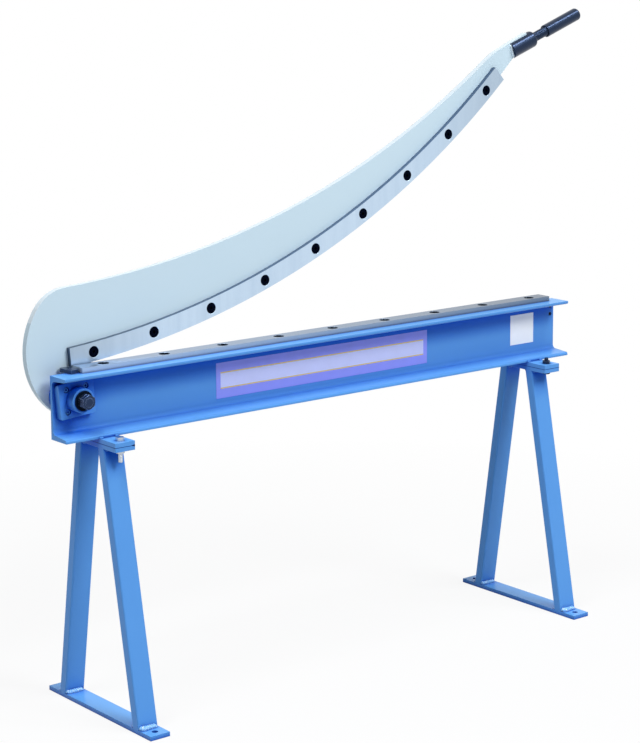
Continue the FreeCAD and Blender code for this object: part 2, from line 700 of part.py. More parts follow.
def upper_blade_screws():
    body = edge_body("upper_blade_screws", "upper_blade_front + screw_sink",
                     "edge_middle_angle - screw_step * (upper_screws - 1) / 2")
    profile = new_sketch(body, "ScrewProfile", "YZ_Plane")
    screw_profile(profile, "deep", "upper_screw_length")
    middle = Part.LineSegment(Vector(0, -value("screw_radius"), 0), Vector(value("screw_thread"), -value("screw_radius"), 0))
    line = profile.addGeometry(middle, True)
    profile.addConstraint(Sketcher.Constraint("Horizontal", line))
    hold_point(profile, line, 1, "0", "-screw_radius")
    hold(profile, "DistanceX", (line, 1, line, 2), "screw_thread")
    screw = revolve(body, "Screw", profile, "Axis0")
    mouth = new_sketch(body, "SocketMouth", "XZ_Plane")
    hexagon(mouth, "0", "-screw_radius", "screw_socket")
    socket = pocket(body, "Socket", mouth, "screw_socket_depth")
    ring_row(body, "ScrewRow", [screw, socket], "screw_step", "upper_screws")


def tangent_centre(first, first_reach, second, second_reach):
    """The lower of the two points at the given distances from two centres, taken on the nose side."""
    apart = (second - first).Length
    along = (first_reach ** 2 - second_reach ** 2 + apart ** 2) / (2 * apart)
    across = math.sqrt(first_reach ** 2 - along ** 2)
    ahead = (second - first).normalize()
    side = Vector(-ahead.y, ahead.x, 0)
    return first + ahead * along + side * across


def on_ring(centre, radius, towards):
    return centre + (towards - centre).normalize() * radius


def arc_between(sketch, centre, start, end, through):
    """An arc given by its ends and a point near its middle."""
    radius = (start - centre).Length
    arc = Part.Arc(start, on_ring(centre, radius, through), end)
    return sketch.addGeometry(arc, False)


def handle_point(along, above):
    """Formulas for a point of the handle axis frame, seen from the pivot."""
    return ("handle_side + (%s) * cos(handle_angle) - (%s) * sin(handle_angle)" % (along, above),
            "handle_rise + (%s) * sin(handle_angle) + (%s) * cos(handle_angle)" % (along, above))


def lever_plate():
    """Sword-shaped plate: round nose and heel at the pivot, hollow back, curved seat, slim tip."""
    body = new_body("lever_plate", side="pivot_side", depth="lever_back", rise="pivot_rise")
    face = new_sketch(body, "PlateFace", "XZ_Plane")
    pivot = Vector(0, 0, 0)
    nose = Vector(value("nose_centre_side"), value("nose_centre_rise"), 0)
    back = Vector(value("back_centre_side"), value("back_centre_rise"), 0)
    edge = Vector(value("edge_centre_side"), value("edge_centre_rise"), 0)
    heel_radius, back_radius = value("heel_radius"), value("back_radius")
    nose_radius = nose.Length + heel_radius
    round_radius, bend_radius = value("shoulder_radius"), value("tip_bend_radius")
    seat_radius = value("seat_radius")

    # Heel and nose touch on the line through their centres
    heel_to_nose = on_ring(nose, nose_radius, pivot)
    shoulder = tangent_centre(nose, nose_radius - round_radius, back, back_radius + round_radius)
    nose_to_shoulder = on_ring(nose, nose_radius, shoulder)
    shoulder_to_back = on_ring(back, back_radius, shoulder)

    # Straight tip edge, and the bend that leads the hollow back into it
    slope = math.radians(value("tip_angle"))
    ahead = Vector(math.cos(slope), math.sin(slope), 0)
    above = Vector(-ahead.y, ahead.x, 0)
    tip_top = Vector(*[value(part) for part in handle_point("tip_length", "tip_rise")], 0)
    level = (back - tip_top).dot(above) + bend_radius
    run = math.sqrt((back_radius + bend_radius) ** 2 - level ** 2)
    bend = back - above * level + ahead * run
    back_to_bend = on_ring(back, back_radius, bend)
    bend_to_tip = bend + above * bend_radius

    # Tongue in the socket, and the seat arc under the plate
    tip_low = Vector(*[value(part) for part in handle_point("tip_length", "-tip_drop")], 0)
    turn = math.radians(value("handle_angle"))
    axis = Vector(math.cos(turn), math.sin(turn), 0)
    offset = tip_low - edge
    reach = offset.dot(axis)
    tongue_start = tip_low - axis * (reach - math.sqrt(reach ** 2 - offset.Length ** 2 + seat_radius ** 2))
    side = value("throat_side")
    seat_start = Vector(side, edge.y - math.sqrt(seat_radius ** 2 - (side - edge.x) ** 2), 0)

    # Throat edge from the seat down to the heel
    distance = seat_start.Length
    swing = math.atan2(seat_start.y, seat_start.x) - math.acos(heel_radius / distance)
    throat_low = Vector(heel_radius * math.cos(swing), heel_radius * math.sin(swing), 0)

    nose_arc = arc_between(face, nose, heel_to_nose, nose_to_shoulder, nose + Vector(-nose_radius, 0, 0))
    shoulder_arc = arc_between(face, shoulder, nose_to_shoulder, shoulder_to_back,
                               (nose_to_shoulder + shoulder_to_back) / 2)
    back_arc = arc_between(face, back, shoulder_to_back, back_to_bend, (shoulder_to_back + back_to_bend) / 2)
    bend_arc = arc_between(face, bend, back_to_bend, bend_to_tip, (back_to_bend + bend_to_tip) / 2)
    tip_edge = face.addGeometry(Part.LineSegment(bend_to_tip, tip_top), False)
    tip_end = face.addGeometry(Part.LineSegment(tip_top, tip_low), False)
    tongue = face.addGeometry(Part.LineSegment(tip_low, tongue_start), False)
    seat_arc = arc_between(face, edge, tongue_start, seat_start, (tongue_start + seat_start) / 2)
    throat = face.addGeometry(Part.LineSegment(seat_start, throat_low), False)
    heel_arc = arc_between(face, pivot, throat_low, heel_to_nose, Vector(0, -heel_radius, 0))

    chain = [
        (nose_arc, nose_to_shoulder, shoulder_arc, "Tangent"),
        (shoulder_arc, shoulder_to_back, back_arc, "Tangent"),
        (back_arc, back_to_bend, bend_arc, "Tangent"),
        (bend_arc, bend_to_tip, tip_edge, "Tangent"),
        (tip_edge, tip_top, tip_end, "Coincident"),
        (tip_end, tip_low, tongue, "Coincident"),
        (tongue, tongue_start, seat_arc, "Coincident"),
        (seat_arc, seat_start, throat, "Coincident"),
        (throat, throat_low, heel_arc, "Tangent"),
        (heel_arc, heel_to_nose, nose_arc, "Tangent"),
    ]
    for first, point, second, kind in chain:
        join(face, first, arc_ends(face, first, point)[0], second, arc_ends(face, second, point)[0], kind)
    hold_point(face, nose_arc, 3, "nose_centre_side", "nose_centre_rise")
    hold_point(face, back_arc, 3, "back_centre_side", "back_centre_rise")
    hold_point(face, seat_arc, 3, "edge_centre_side", "edge_centre_rise")
    hold_point(face, heel_arc, 3, "0", "0")
    for arc, radius in ((heel_arc, "heel_radius"), (shoulder_arc, "shoulder_radius"),
                        (back_arc, "back_radius"), (bend_arc, "tip_bend_radius"),
                        (seat_arc, "seat_radius")):
        hold(face, "Radius", (arc,), radius)
    hold(face, "Angle", (tip_edge,), "tip_angle * 1deg")
    hold_point(face, tip_end, 1, *handle_point("tip_length", "tip_rise"))
    hold_point(face, tip_end, 2, *handle_point("tip_length", "-tip_drop"))
    hold(face, "DistanceX", (-1, 1, throat, 1), "throat_side")
    axis_line = face.addGeometry(Part.LineSegment(tip_low, tip_low - axis * 10), True)
    join(face, axis_line, 1, tip_end, 2)
    hold(face, "Angle", (axis_line,), "(180 + handle_angle) * 1deg")
    hold(face, "Distance", (axis_line,), "tip_length")
    face.addConstraint(Sketcher.Constraint("PointOnObject", axis_line, 2, tongue))
    pad(body, "Plate", face, "lever_thickness")

    holes = new_sketch(body, "PlateHoles", "XZ_Plane")
    circle(holes, "0", "0", "pivot_bore + 2 * bush_wall")
    for number in range(round(value("upper_screws"))):
        angle = "(edge_middle_angle + screw_step * (%d - (upper_screws - 1) / 2))" % number
        circle(holes, "edge_centre_side + screw_radius * sin(%s)" % angle,
               "edge_centre_rise - screw_radius * cos(%s)" % angle, "screw_thread + 2 * thread_play")
    pocket(body, "PlateHolesCut", holes, turned=True)


def pivot_bush():
    body = new_body("pivot_bush", side="pivot_side", depth="lever_back", rise="pivot_rise")
    ring = new_sketch(body, "BushRing", "XZ_Plane")
    circle(ring, "0", "0", "pivot_bore + 2 * bush_wall")
    circle(ring, "0", "0", "pivot_bore")
    pad(body, "Bush", ring, "lever_thickness")


def disc(label, back, diameter, thickness):
    """Round disc with a bore for the pivot bolt, its back at a depth along Y."""
    body = new_body(label, side="pivot_side", depth=back, rise="pivot_rise")
    ring = new_sketch(body, "Ring", "XZ_Plane")
    circle(ring, "0", "0", diameter)
    circle(ring, "0", "0", "pivot_bore + 2 * thread_play")
    pad(body, "Disc", ring, thickness)
    bevel_circle(body, "Rim", "-(%s)" % thickness, diameter, "edge_break / 2")


def pivot_hardware():
    """Bolt from the back, spacer disc, washers and two thin nuts on the boss."""
    disc("spacer_disc", "lever_front - turning_play", "spacer_diameter",
         "lever_front - turning_play - web_back")
    disc("front_washer", "boss_front", "washer_diameter", "washer_thickness")
    disc("rear_washer", "rear_washer_back", "washer_diameter", "washer_thickness")
    bolt = new_body("pivot_bolt", side="pivot_side", depth="rear_washer_back", rise="pivot_rise",
                    axis=(1, 0, 0), turn="90")
    hex_bolt(bolt, "pivot_thread", "pivot_flats", "pivot_head_height",
             "rear_washer_back - nuts_front + pivot_projection")
    for label, back in (("pivot_nut", "nuts_back"), ("lock_nut", "nuts_back - pivot_nut_height")):
        nut = new_body(label, side="pivot_side", depth=back, rise="pivot_rise", axis=(1, 0, 0), turn="90")
        hex_nut(nut, "pivot_thread", "pivot_flats", "pivot_nut_height")


def housing_body(label, depth):
    return new_body(label, side="pivot_side", depth=depth, rise="pivot_rise",
                    axis=(0, -1, 0), turn="housing_turn")


def pivot_housing():
    """Cast block with a long round boss that carries the pivot bolt."""
    body = housing_body("pivot_housing", "web_front")
    face = new_sketch(body, "BlockFace", "XZ_Plane")
    rectangle(face, "-housing_width / 2", "-housing_height / 2", "housing_width / 2",
              "housing_height / 2", "housing_corner")
    pad(body, "Block", face, "housing_thickness")
    side = new_sketch(body, "BevelSide", "YZ_Plane", offset="-housing_width / 2")
    outline(side, [("0", "housing_height / 2"), ("0", "housing_height / 2 - housing_bevel"),
                   ("-housing_bevel", "housing_height / 2")])
    pocket(body, "Bevel", side, turned=True)
    boss = new_sketch(body, "BossFace", "XZ_Plane")
    circle(boss, "0", "0", "housing_boss")
    pad(body, "Boss", boss, "housing_reach")
    bore = new_sketch(body, "BoreMark", "XZ_Plane")
    circle(bore, "0", "0", "pivot_bore")
    pocket(body, "Bore", bore, turned=True)
    for name, hole, depth, offset in (
            ("Plain", "housing_thread + 2 * hole_play", None, "housing_thickness"),
            ("Counterbore", "housing_counterbore", "housing_counterbore_depth", "housing_thickness")):
        marks = new_sketch(body, name + "Marks", "XZ_Plane", offset=offset)
        for across in ("-housing_hole_pitch / 2", "housing_hole_pitch / 2"):
            for up in ("-housing_hole_pitch / 2", "housing_hole_pitch / 2"):
                circle(marks, across, up, hole)
        pocket(body, name + "Cut", marks, depth)
    bevel_circle(body, "BossRim", "-housing_reach", "housing_boss", "housing_rim")


def housing_screws():
    """Four socket head screws that hold the pivot block on the web."""
    seat = "web_front - housing_thickness + housing_counterbore_depth"
    body = housing_body("housing_screws", seat)
    heads = new_sketch(body, "Heads", "XZ_Plane")
    shanks = new_sketch(body, "Shanks", "XZ_Plane")
    sockets = new_sketch(body, "Sockets", "XZ_Plane", offset="housing_head_height")
    half = "housing_hole_pitch / 2"
    for across in ("-" + half, half):
        for up in ("-" + half, half):
            circle(heads, across, up, "housing_head")
            circle(shanks, across, up, "housing_thread")
            hexagon(sockets, across, up, "housing_socket")
    pad(body, "HeadPads", heads, "housing_head_height")
    pad(body, "ShankPads", shanks, "web_back - (%s)" % seat, turned=True)
    pocket(body, "SocketCuts", sockets, "housing_head_height / 2")


def block_body(label, rise):
    return new_body(label, side="beam_left + block_side", depth="web_back - block_front",
                    rise=rise, axis=(0, 0, 1), turn="block_turn")


def heel_block():
    """Small block at the heel of the fixed blade; its right side stops the opened blade."""
    body = block_body("heel_block", "beam_top")
    plan = new_sketch(body, "BlockPlan", "XY_Plane")
    outline(plan, [("0", "0"), ("block_width", "0"),
                   ("block_width", "block_length - block_width * tan(block_turn)"),
                   ("0", "block_length", "block_corner")])
    pad(body, "Block", plan, "block_thickness")
    mark = new_sketch(body, "ScrewMark", "XY_Plane", offset="block_thickness")
    circle(mark, "block_screw_inset", "block_screw_inset", "block_screw_thread")
    document.recompute()
    hole = body.newObject("PartDesign::Hole", "ScrewHole")
    finish_feature(hole, mark)
    hole.DepthType = "ThroughAll"
    hole.HoleCutType = "Countersink"
    hole.HoleCutCustomValues = True
    bind(hole, "Diameter", "block_screw_thread + 2 * hole_play")
    bind(hole, "HoleCutDiameter", "block_screw_head + 2 * screw_sink + 2 * thread_play")
    hole.HoleCutCountersinkAngle = 90
    document.recompute()


def heel_block_screw():
    body = block_body("heel_block_screw", "beam_top + block_thickness - screw_sink")
    profile = new_sketch(body, "ScrewProfile", "XZ_Plane", offset="-block_screw_inset")
    radius, head, middle = "block_screw_thread / 2", "block_screw_head / 2", "block_screw_inset"
    outline(profile, [
        (middle, "0"),
        ("%s + %s" % (middle, head), "0"),
        ("%s + %s" % (middle, radius), "-(%s - %s)" % (head, radius)),
        ("%s + %s" % (middle, radius), "-block_screw_length + screw_sink"),
        (middle, "-block_screw_length + screw_sink"),
    ])
    centre = value(middle)
    line = profile.addGeometry(Part.LineSegment(Vector(centre, 0, 0), Vector(centre, value("block_screw_thread"), 0)), True)
    profile.addConstraint(Sketcher.Constraint("Vertical", line))
    hold_point(profile, line, 1, middle, "0")
    hold(profile, "DistanceY", (line, 1, line, 2), "block_screw_thread")
    revolve(body, "Screw", profile, "Axis0")
    mouth = new_sketch(body, "SocketMouth", "XY_Plane")
    hexagon(mouth, middle, middle, "block_screw_socket")
    pocket(body, "Socket", mouth, "block_screw_thread / 2")


def handle_body(label):
    """A body whose X axis is the handle axis, from the mouth of the socket."""
    return new_body(label, side="pivot_side + handle_side", depth="lever_middle",
                    rise="pivot_rise + handle_rise", axis=(0, -1, 0), turn="handle_angle")


def turned_piece(label, corners):
    """A round piece on the handle axis from its half profile (along, radius[, round])."""
    body = handle_body(label)
    profile = new_sketch(body, "Profile", "XZ_Plane")
    outline(profile, corners)
    revolve(body, "Turned", profile, "H_Axis")
    return body


def handle():
    """Slotted socket on the tip of the plate, threaded stud and grip."""
    radius = "socket_diameter / 2"
    bore = "stud_diameter / 2 + thread_play"
    socket = turned_piece("handle_socket", [
        ("0", "0"),
        ("slot_end", "0"),
        ("slot_end", bore),
        ("socket_length", bore),
        ("socket_length", radius, "socket_round"),
        ("0", radius),
    ])
    slot = new_sketch(socket, "SlotSide", "XZ_Plane", offset="-(lever_thickness / 2 + slot_play)")
    rectangle(slot, "-socket_length", "-socket_diameter", "slot_end", "socket_diameter")
    pocket(socket, "Slot", slot, "lever_thickness + 2 * slot_play", turned=True)

    stud = "stud_diameter / 2"
    stud_end = "grip_start + stud_in_grip"
    turned_piece("handle_stud", [
        ("slot_end", "0"),
        (stud_end, "0"),
        (stud_end, stud + " - edge_break"),
        (stud_end + " - edge_break", stud),
        ("slot_end + edge_break", stud),
        ("slot_end", stud + " - edge_break"),
    ])

    outer, mouth = "grip_diameter / 2", "mouth_diameter / 2"
    grip_end = "grip_start + grip_length"
    turned_piece("handle_grip", [
        ("grip_start", mouth),
        ("grip_start + mouth_depth", mouth),
        ("grip_start + mouth_depth", bore),
        (stud_end, bore),
        (stud_end, "0"),
        (grip_end, "0"),
        (grip_end, outer, "grip_round"),
        ("grip_start + edge_break", outer),
        ("grip_start", outer + " - edge_break"),
    ])


def check_and_write():
    """Nothing is written unless every object is sound."""
    document.recompute()
    for item in document.Objects:
        if "Invalid" in item.State or "Error" in item.State:
            raise ValueError("%s failed: %s" % (item.Name, item.State))
        if item.TypeId == "Sketcher::SketchObject" and item.solve() != 0:
            raise ValueError("%s of %s is not solved" % (item.Name, item.getParentGeoFeatureGroup().Label))
    for body in pieces:
        if body.Shape.isNull() or not body.Shape.isValid() or not body.Shape.Solids:
            raise ValueError(body.Label + " has no sound shape")
    os.makedirs("parts", exist_ok=True)
    for body in pieces:
        body.Shape.exportStep(os.path.join("parts", body.Label + ".step"))
        box = body.Shape.BoundBox
        print("%-20s %2d  x %8.1f %8.1f  y %7.1f %7.1f  z %7.1f %7.1f" % (
            body.Label, len(body.Shape.Solids), box.XMin, box.XMax, box.YMin, box.YMax,
            box.ZMin, box.ZMax))


fill_sheets()
channel_beam()
beam_end_screws()
stand("left", "-stand_spacing / 2", "left_bolt_length", head_up=True)
stand("right", "stand_spacing / 2", "right_bolt_length", head_up=False)
lower_blade()
lower_blade_screws()
heel_block()
heel_block_screw()
pivot_housing()
housing_screws()
pivot_hardware()
lever_plate()
pivot_bush()
upper_blade()
upper_blade_screws()
handle()
check_and_write()
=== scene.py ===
import math

import bmesh
import bpy
from mathutils import Matrix, Vector, noise


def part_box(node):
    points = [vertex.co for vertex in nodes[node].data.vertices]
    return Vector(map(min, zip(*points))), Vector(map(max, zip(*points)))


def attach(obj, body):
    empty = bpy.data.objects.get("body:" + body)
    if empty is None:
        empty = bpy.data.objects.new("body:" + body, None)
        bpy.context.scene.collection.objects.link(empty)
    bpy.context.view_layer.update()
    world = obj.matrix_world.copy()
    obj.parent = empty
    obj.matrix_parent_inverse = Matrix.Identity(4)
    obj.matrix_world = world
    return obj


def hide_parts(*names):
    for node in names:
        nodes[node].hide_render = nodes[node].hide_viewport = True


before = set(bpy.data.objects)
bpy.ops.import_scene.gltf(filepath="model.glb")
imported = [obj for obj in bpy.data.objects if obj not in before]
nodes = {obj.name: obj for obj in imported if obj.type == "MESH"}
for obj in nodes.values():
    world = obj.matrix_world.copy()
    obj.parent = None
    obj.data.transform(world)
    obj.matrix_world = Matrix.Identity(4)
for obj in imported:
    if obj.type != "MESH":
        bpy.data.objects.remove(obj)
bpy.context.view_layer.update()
print("frame loaded:", len(nodes), "nodes")


# small helpers for node trees

def addNode(tree, kind, inputs=None, **settings):
    made = tree.nodes.new(kind)
    for name, setting in settings.items():
        setattr(made, name, setting)
    for name, given in (inputs or {}).items():
        if isinstance(given, bpy.types.NodeSocket):
            tree.links.new(given, made.inputs[name])
        else:
            made.inputs[name].default_value = given
    return made


def newGroup(name, inputs, outputs):
    tree = bpy.data.node_groups.new(name, "ShaderNodeTree")
    for label, kind, start in inputs:
        socket = tree.interface.new_socket(label, in_out="INPUT", socket_type=kind)
        socket.default_value = start
    for label, kind in outputs:
        tree.interface.new_socket(label, in_out="OUTPUT", socket_type=kind)
    return tree, tree.nodes.new("NodeGroupInput"), tree.nodes.new("NodeGroupOutput")


def placeGroup(tree, group, **values):
    made = tree.nodes.new("ShaderNodeGroup")
    made.node_tree = group
    for name, given in values.items():
        made.inputs[name].default_value = given
    return made


def newMaterial(name):
    made = bpy.data.materials.new(name)
    made.use_nodes = True
    made.node_tree.nodes.clear()
    return made, made.node_tree


def finishMaterial(tree, shader):
    out = tree.nodes.new("ShaderNodeOutputMaterial")
    tree.links.new(shader.outputs[0], out.inputs["Surface"])


def mixColour(tree, factor, first, second):
    mix = addNode(tree, "ShaderNodeMix", {0: factor, 6: first, 7: second}, data_type="RGBA")
    return mix.outputs[2]


def mathNode(tree, operation, first, second=0.0, clamp=False):
    made = addNode(tree, "ShaderNodeMath", {0: first, 1: second}, operation=operation, use_clamp=clamp)
    return made.outputs[0]


def scaleAndAdd(tree, value, scale, offset):
    return addNode(tree, "ShaderNodeMath", {0: value, 1: scale, 2: offset}, operation="MULTIPLY_ADD").outputs[0]


def vectorNode(tree, operation, first, second=(0.0, 0.0, 0.0)):
    return addNode(tree, "ShaderNodeVectorMath", {0: first, 1: second}, operation=operation)


def noiseNode(tree, place, look):
    scale, detail, roughness = look
    made = addNode(tree, "ShaderNodeTexNoise", {"Vector": place, "Scale": scale,
                                                "Detail": detail, "Roughness": roughness})
    return made.outputs["Fac"]


def bumpNode(tree, height, strength, distance):
    return addNode(tree, "ShaderNodeBump", {"Strength": strength, "Distance": distance, "Height": height})


def roughnessAround(tree, mask, look):
    # the mask moves the roughness to both sides of the look's own
    return scaleAndAdd(tree, mask, look["roughDrift"], look["roughness"] - look["roughDrift"] / 2)


def lighter(colour, times):
    return tuple(c * times for c in colour[:3]) + (1.0,)


# small helpers for meshes

def meshFrom(build, name, outward=True):
    if outward:
        bmesh.ops.recalc_face_normals(build, faces=build.faces)
    made = bpy.data.meshes.new(name)
    build.to_mesh(made)
    build.free()
    return made


def newPiece(name, mesh, material, body, smooth=True):
    piece = bpy.data.objects.new(name, mesh)
    bpy.context.scene.collection.objects.link(piece)
    mesh.materials.append(material)
    for face in mesh.polygons:
        face.use_smooth = smooth
    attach(piece, body)
    return piece


def joinRings(build, rings):
    # a closed skin through rings of the same count, capped at both ends
    for a, b in zip(rings, rings[1:]):
        for k in range(len(a)):
            build.faces.new((a[k], a[(k + 1) % len(a)], b[(k + 1) % len(b)], b[k]))
    build.faces.new(list(reversed(rings[0])))
    build.faces.new(rings[-1])


# effects that several finishes share

effects = {
    "edgeSamples": 6,
    "edgeFlat": 0.98,              # turns less than this leave round bars alone
    "edgeGain": 5.0,
    "shadeSamples": 12,
    "driftDetail": (3.0, 0.6),     # detail, roughness
    "rippleDetail": (1.0, 0.4),
    "scratch": (10.0, 5.0, 0.7),   # scale, detail, roughness
    "cloud": (0.9, 2.0, 0.5),
    "cloudShare": 0.6,
}


def softEdgeGroup():
    # rounds the corners to the eye, as a coat of paint does, and masks them for a lighter edge, a painted highlight
    tree, given, out = newGroup("softEdge", [("Radius", "NodeSocketFloat", 0.001)],
                                [("Normal", "NodeSocketVector"), ("Edge", "NodeSocketFloat")])
    bevel = addNode(tree, "ShaderNodeBevel", {"Radius": given.outputs["Radius"]}, samples=effects["edgeSamples"])
    surface = addNode(tree, "ShaderNodeNewGeometry")
    facing = vectorNode(tree, "DOT_PRODUCT", bevel.outputs[0], surface.outputs["Normal"])
    turned = mathNode(tree, "SUBTRACT", effects["edgeFlat"], facing.outputs["Value"])
    edge = mathNode(tree, "MULTIPLY", turned, effects["edgeGain"], clamp=True)
    tree.links.new(bevel.outputs[0], out.inputs["Normal"])
    tree.links.new(edge, out.inputs["Edge"])
    return tree


def paintSkinGroup():
    # slow drift of tone over a panel, and the fine ripple of a sprayed coat
    tree, given, out = newGroup("paintSkin",
                                [("Drift Scale", "NodeSocketFloat", 6.0), ("Ripple Scale", "NodeSocketFloat", 150.0)],
                                [("Drift", "NodeSocketFloat"), ("Ripple", "NodeSocketFloat")])
    place = addNode(tree, "ShaderNodeTexCoord").outputs["Object"]
    drift = noiseNode(tree, place, (given.outputs["Drift Scale"], *effects["driftDetail"]))
    ripple = noiseNode(tree, place, (given.outputs["Ripple Scale"], *effects["rippleDetail"]))
    tree.links.new(drift, out.inputs["Drift"])
    tree.links.new(ripple, out.inputs["Ripple"])
    return tree


def grindMarksGroup():
    # fine parallel scratches: Stretch squeezes the pattern along the wheel's path
    tree, given, out = newGroup("grindMarks",
                                [("Stretch", "NodeSocketVector", (1.0, 1.0, 1.0)),
                                 ("Turn", "NodeSocketVector", (0.0, 0.0, 0.0))],
                                [("Tone", "NodeSocketFloat"), ("Lines", "NodeSocketFloat")])
    place = addNode(tree, "ShaderNodeTexCoord").outputs["Object"]
    turned = addNode(tree, "ShaderNodeMapping", {"Vector": place, "Rotation": given.outputs["Turn"]})
    squeezed = vectorNode(tree, "MULTIPLY", turned.outputs[0], given.outputs["Stretch"]).outputs[0]
    fine = noiseNode(tree, squeezed, effects["scratch"])
    broad = mathNode(tree, "MULTIPLY", noiseNode(tree, squeezed, effects["cloud"]), effects["cloudShare"])
    tone = scaleAndAdd(tree, fine, 1.0 - effects["cloudShare"], broad)
    tree.links.new(tone, out.inputs["Tone"])
    tree.links.new(fine, out.inputs["Lines"])
    return tree


def cornerShadeGroup():
    # low where surfaces meet or a hole goes in: a mask for painted shade in corners and holes
    # Lean tips the search upwards, so that a ledge above counts and one below doesn't
    tree, given, out = newGroup("cornerShade",
                                [("Reach", "NodeSocketFloat", 0.02), ("Gain", "NodeSocketFloat", 1.6),
                                 ("Lean", "NodeSocketVector", (0.0, 0.0, 0.0)), ("Clear", "NodeSocketFloat", 0.97)],
                                [("Open", "NodeSocketFloat")])
    surface = addNode(tree, "ShaderNodeNewGeometry")
    leaning = vectorNode(tree, "ADD", surface.outputs["Normal"], given.outputs["Lean"])
    search = vectorNode(tree, "NORMALIZE", leaning.outputs[0])
    reach = given.outputs["Reach"]
    near = addNode(tree, "ShaderNodeAmbientOcclusion", {"Distance": reach, "Normal": search.outputs[0]},
                   samples=effects["shadeSamples"])
    closed = mathNode(tree, "SUBTRACT", given.outputs["Clear"], near.outputs["AO"])
    closed = mathNode(tree, "MULTIPLY", closed, given.outputs["Gain"])
    tree.links.new(mathNode(tree, "SUBTRACT", 1.0, closed, clamp=True), out.inputs["Open"])
    return tree


softEdge = softEdgeGroup()
paintSkin = paintSkinGroup()
grindMarks = grindMarksGroup()
cornerShade = cornerShadeGroup()
print("shared effects made")


# paint

bluePaint = {
    "base": (0.097, 0.292, 0.672, 1.0),
    "deep": (0.083, 0.264, 0.632, 1.0),
    "paintedTopLight": (0.122, 0.365, 0.775, 1.0),    # painted light on level tops
    "shaded": (0.004, 0.095, 0.590, 1.0),   # painted shade under ledges, as blue as the walls near by would bounce it
    # painted highlight along the edges
    "edge": (0.17, 0.45, 0.88, 1.0),
    "creviceShade": (0.003, 0.035, 0.330, 1.0),
    "tint": (0.12, 0.40, 1.0, 1.0),         # of its gloss, seen straight on
    "faceUp": 0.995,                        # a face counts as a top above this
    "shine": 0.28,
    "roughness": 0.30,
    "roughDrift": 0.10,
    "ripple": 0.05,
    "rippleDepth": 0.001,   # m
    "rounded": True,
    "corner": 0.0012,       # m, radius that the coat gives a sharp edge
    "edgeShare": 0.34,
    "reach": 0.012,         # m, how far the painted shade of a corner spreads
    "wideReach": 0.070,     # m, and the painted shade under a ledge
    "wideGain": 1.9,
    "wideLean": (0.0, 0.0, 0.8),
    "wideClear": 0.84,
}
screwLook = {**bluePaint, "reach": 0.0025, "wideReach": 0.012}
palePaint = {
    "base": (0.500, 0.632, 0.715, 1.0),
    "deep": (0.476, 0.610, 0.700, 1.0),
    # painted light on the plate's top edge
    "paintedTopLight": (0.63, 0.73, 0.80, 1.0),
    "tint": (0.80, 0.92, 1.0, 1.0),
    "faceUp": 0.4,
    "shine": 0.25,
    "roughness": 0.38,
    "roughDrift": 0.10,
    "ripple": 0.02,
    "rippleDepth": 0.001,
    "rounded": False,
}


def paintMaterial(name, look):
    material, tree = newMaterial(name)
    skin = placeGroup(tree, paintSkin)
    colour = mixColour(tree, skin.outputs["Drift"], look["base"], look["deep"])
    # level tops painted lighter: painted light from above
    surface = addNode(tree, "ShaderNodeNewGeometry")
    apart = addNode(tree, "ShaderNodeSeparateXYZ", {0: surface.outputs["Normal"]})
    upward = mathNode(tree, "GREATER_THAN", apart.outputs["Z"], look["faceUp"])
    colour = mixColour(tree, upward, colour, look["paintedTopLight"])
    bump = bumpNode(tree, skin.outputs["Ripple"], look["ripple"], look["rippleDepth"])
    if look["rounded"]:
        edge = placeGroup(tree, softEdge, Radius=look["corner"])
        tree.links.new(edge.outputs["Normal"], bump.inputs["Normal"])
        # edges painted lighter: a painted highlight
        edgeShare = mathNode(tree, "MULTIPLY", edge.outputs["Edge"], look["edgeShare"])
        colour = mixColour(tree, edgeShare, colour, look["edge"])
        # painted shade under ledges, such as the web under the top flange
        ledge = placeGroup(tree, cornerShade, Reach=look["wideReach"], Gain=look["wideGain"], Lean=look["wideLean"],
                           Clear=look["wideClear"])
        colour = mixColour(tree, ledge.outputs["Open"], look["shaded"], colour)
        # painted shade in corners and holes
        corner = placeGroup(tree, cornerShade, Reach=look["reach"])
        colour = mixColour(tree, corner.outputs["Open"], look["creviceShade"], colour)
    shader = addNode(tree, "ShaderNodeBsdfPrincipled", {
        "Base Color": colour, "Roughness": roughnessAround(tree, skin.outputs["Drift"], look),
        "Specular IOR Level": look["shine"], "Specular Tint": look["tint"], "Normal": bump.outputs[0]})
    finishMaterial(tree, shader)
    return material


blueCoat = paintMaterial("blueCoat", bluePaint)
paleCoat = paintMaterial("paleCoat", palePaint)
screwPaint = paintMaterial("screwPaint", screwLook)


# bare steel, zinc and bronze

upperSteel = {
    "light": (0.64, 0.78, 0.92, 1.0),
    "dark": (0.44, 0.58, 0.75, 1.0),
    "side": (0.135, 0.195, 0.300, 1.0),   # rolled sides, left as they came
    "sideMetal": 1.0,
    "creviceShade": (0.05, 0.075, 0.12, 1.0),
    "roughness": 0.32,
    "stretch": (60.0, 60.0, 3.0),
    "groundAlong": (0.0, 1.0, 0.0),
    # from x, to x, share of the tone at the first: painted shade, the blade's ends dimmed as their reflections darken
    "dimmedSpans": ((-0.69, -0.45, 0.70), (0.56, 0.36, 0.80)),
}
lowerSteel = {
    "light": (0.37, 0.50, 0.68, 1.0),
    "dark": (0.26, 0.37, 0.54, 1.0),
    "side": (0.40, 0.51, 0.64, 1.0),
    "sideMetal": 0.30,
    "creviceShade": (0.015, 0.022, 0.040, 1.0),
    "roughness": 0.30,
    "stretch": (60.0, 4.0, 4.0),
    "groundAlong": (0.0, 0.0, 1.0),
    # painted shade: the tone dims towards the right end
    "dimmedSpans": ((0.72, -0.68, 0.42),),
}
zincPlate = {
    "light": (0.66, 0.71, 0.76, 1.0),
    "dark": (0.34, 0.39, 0.46, 1.0),
    "roughness": 0.24,
    "stretch": (12.0, 12.0, 12.0),
}
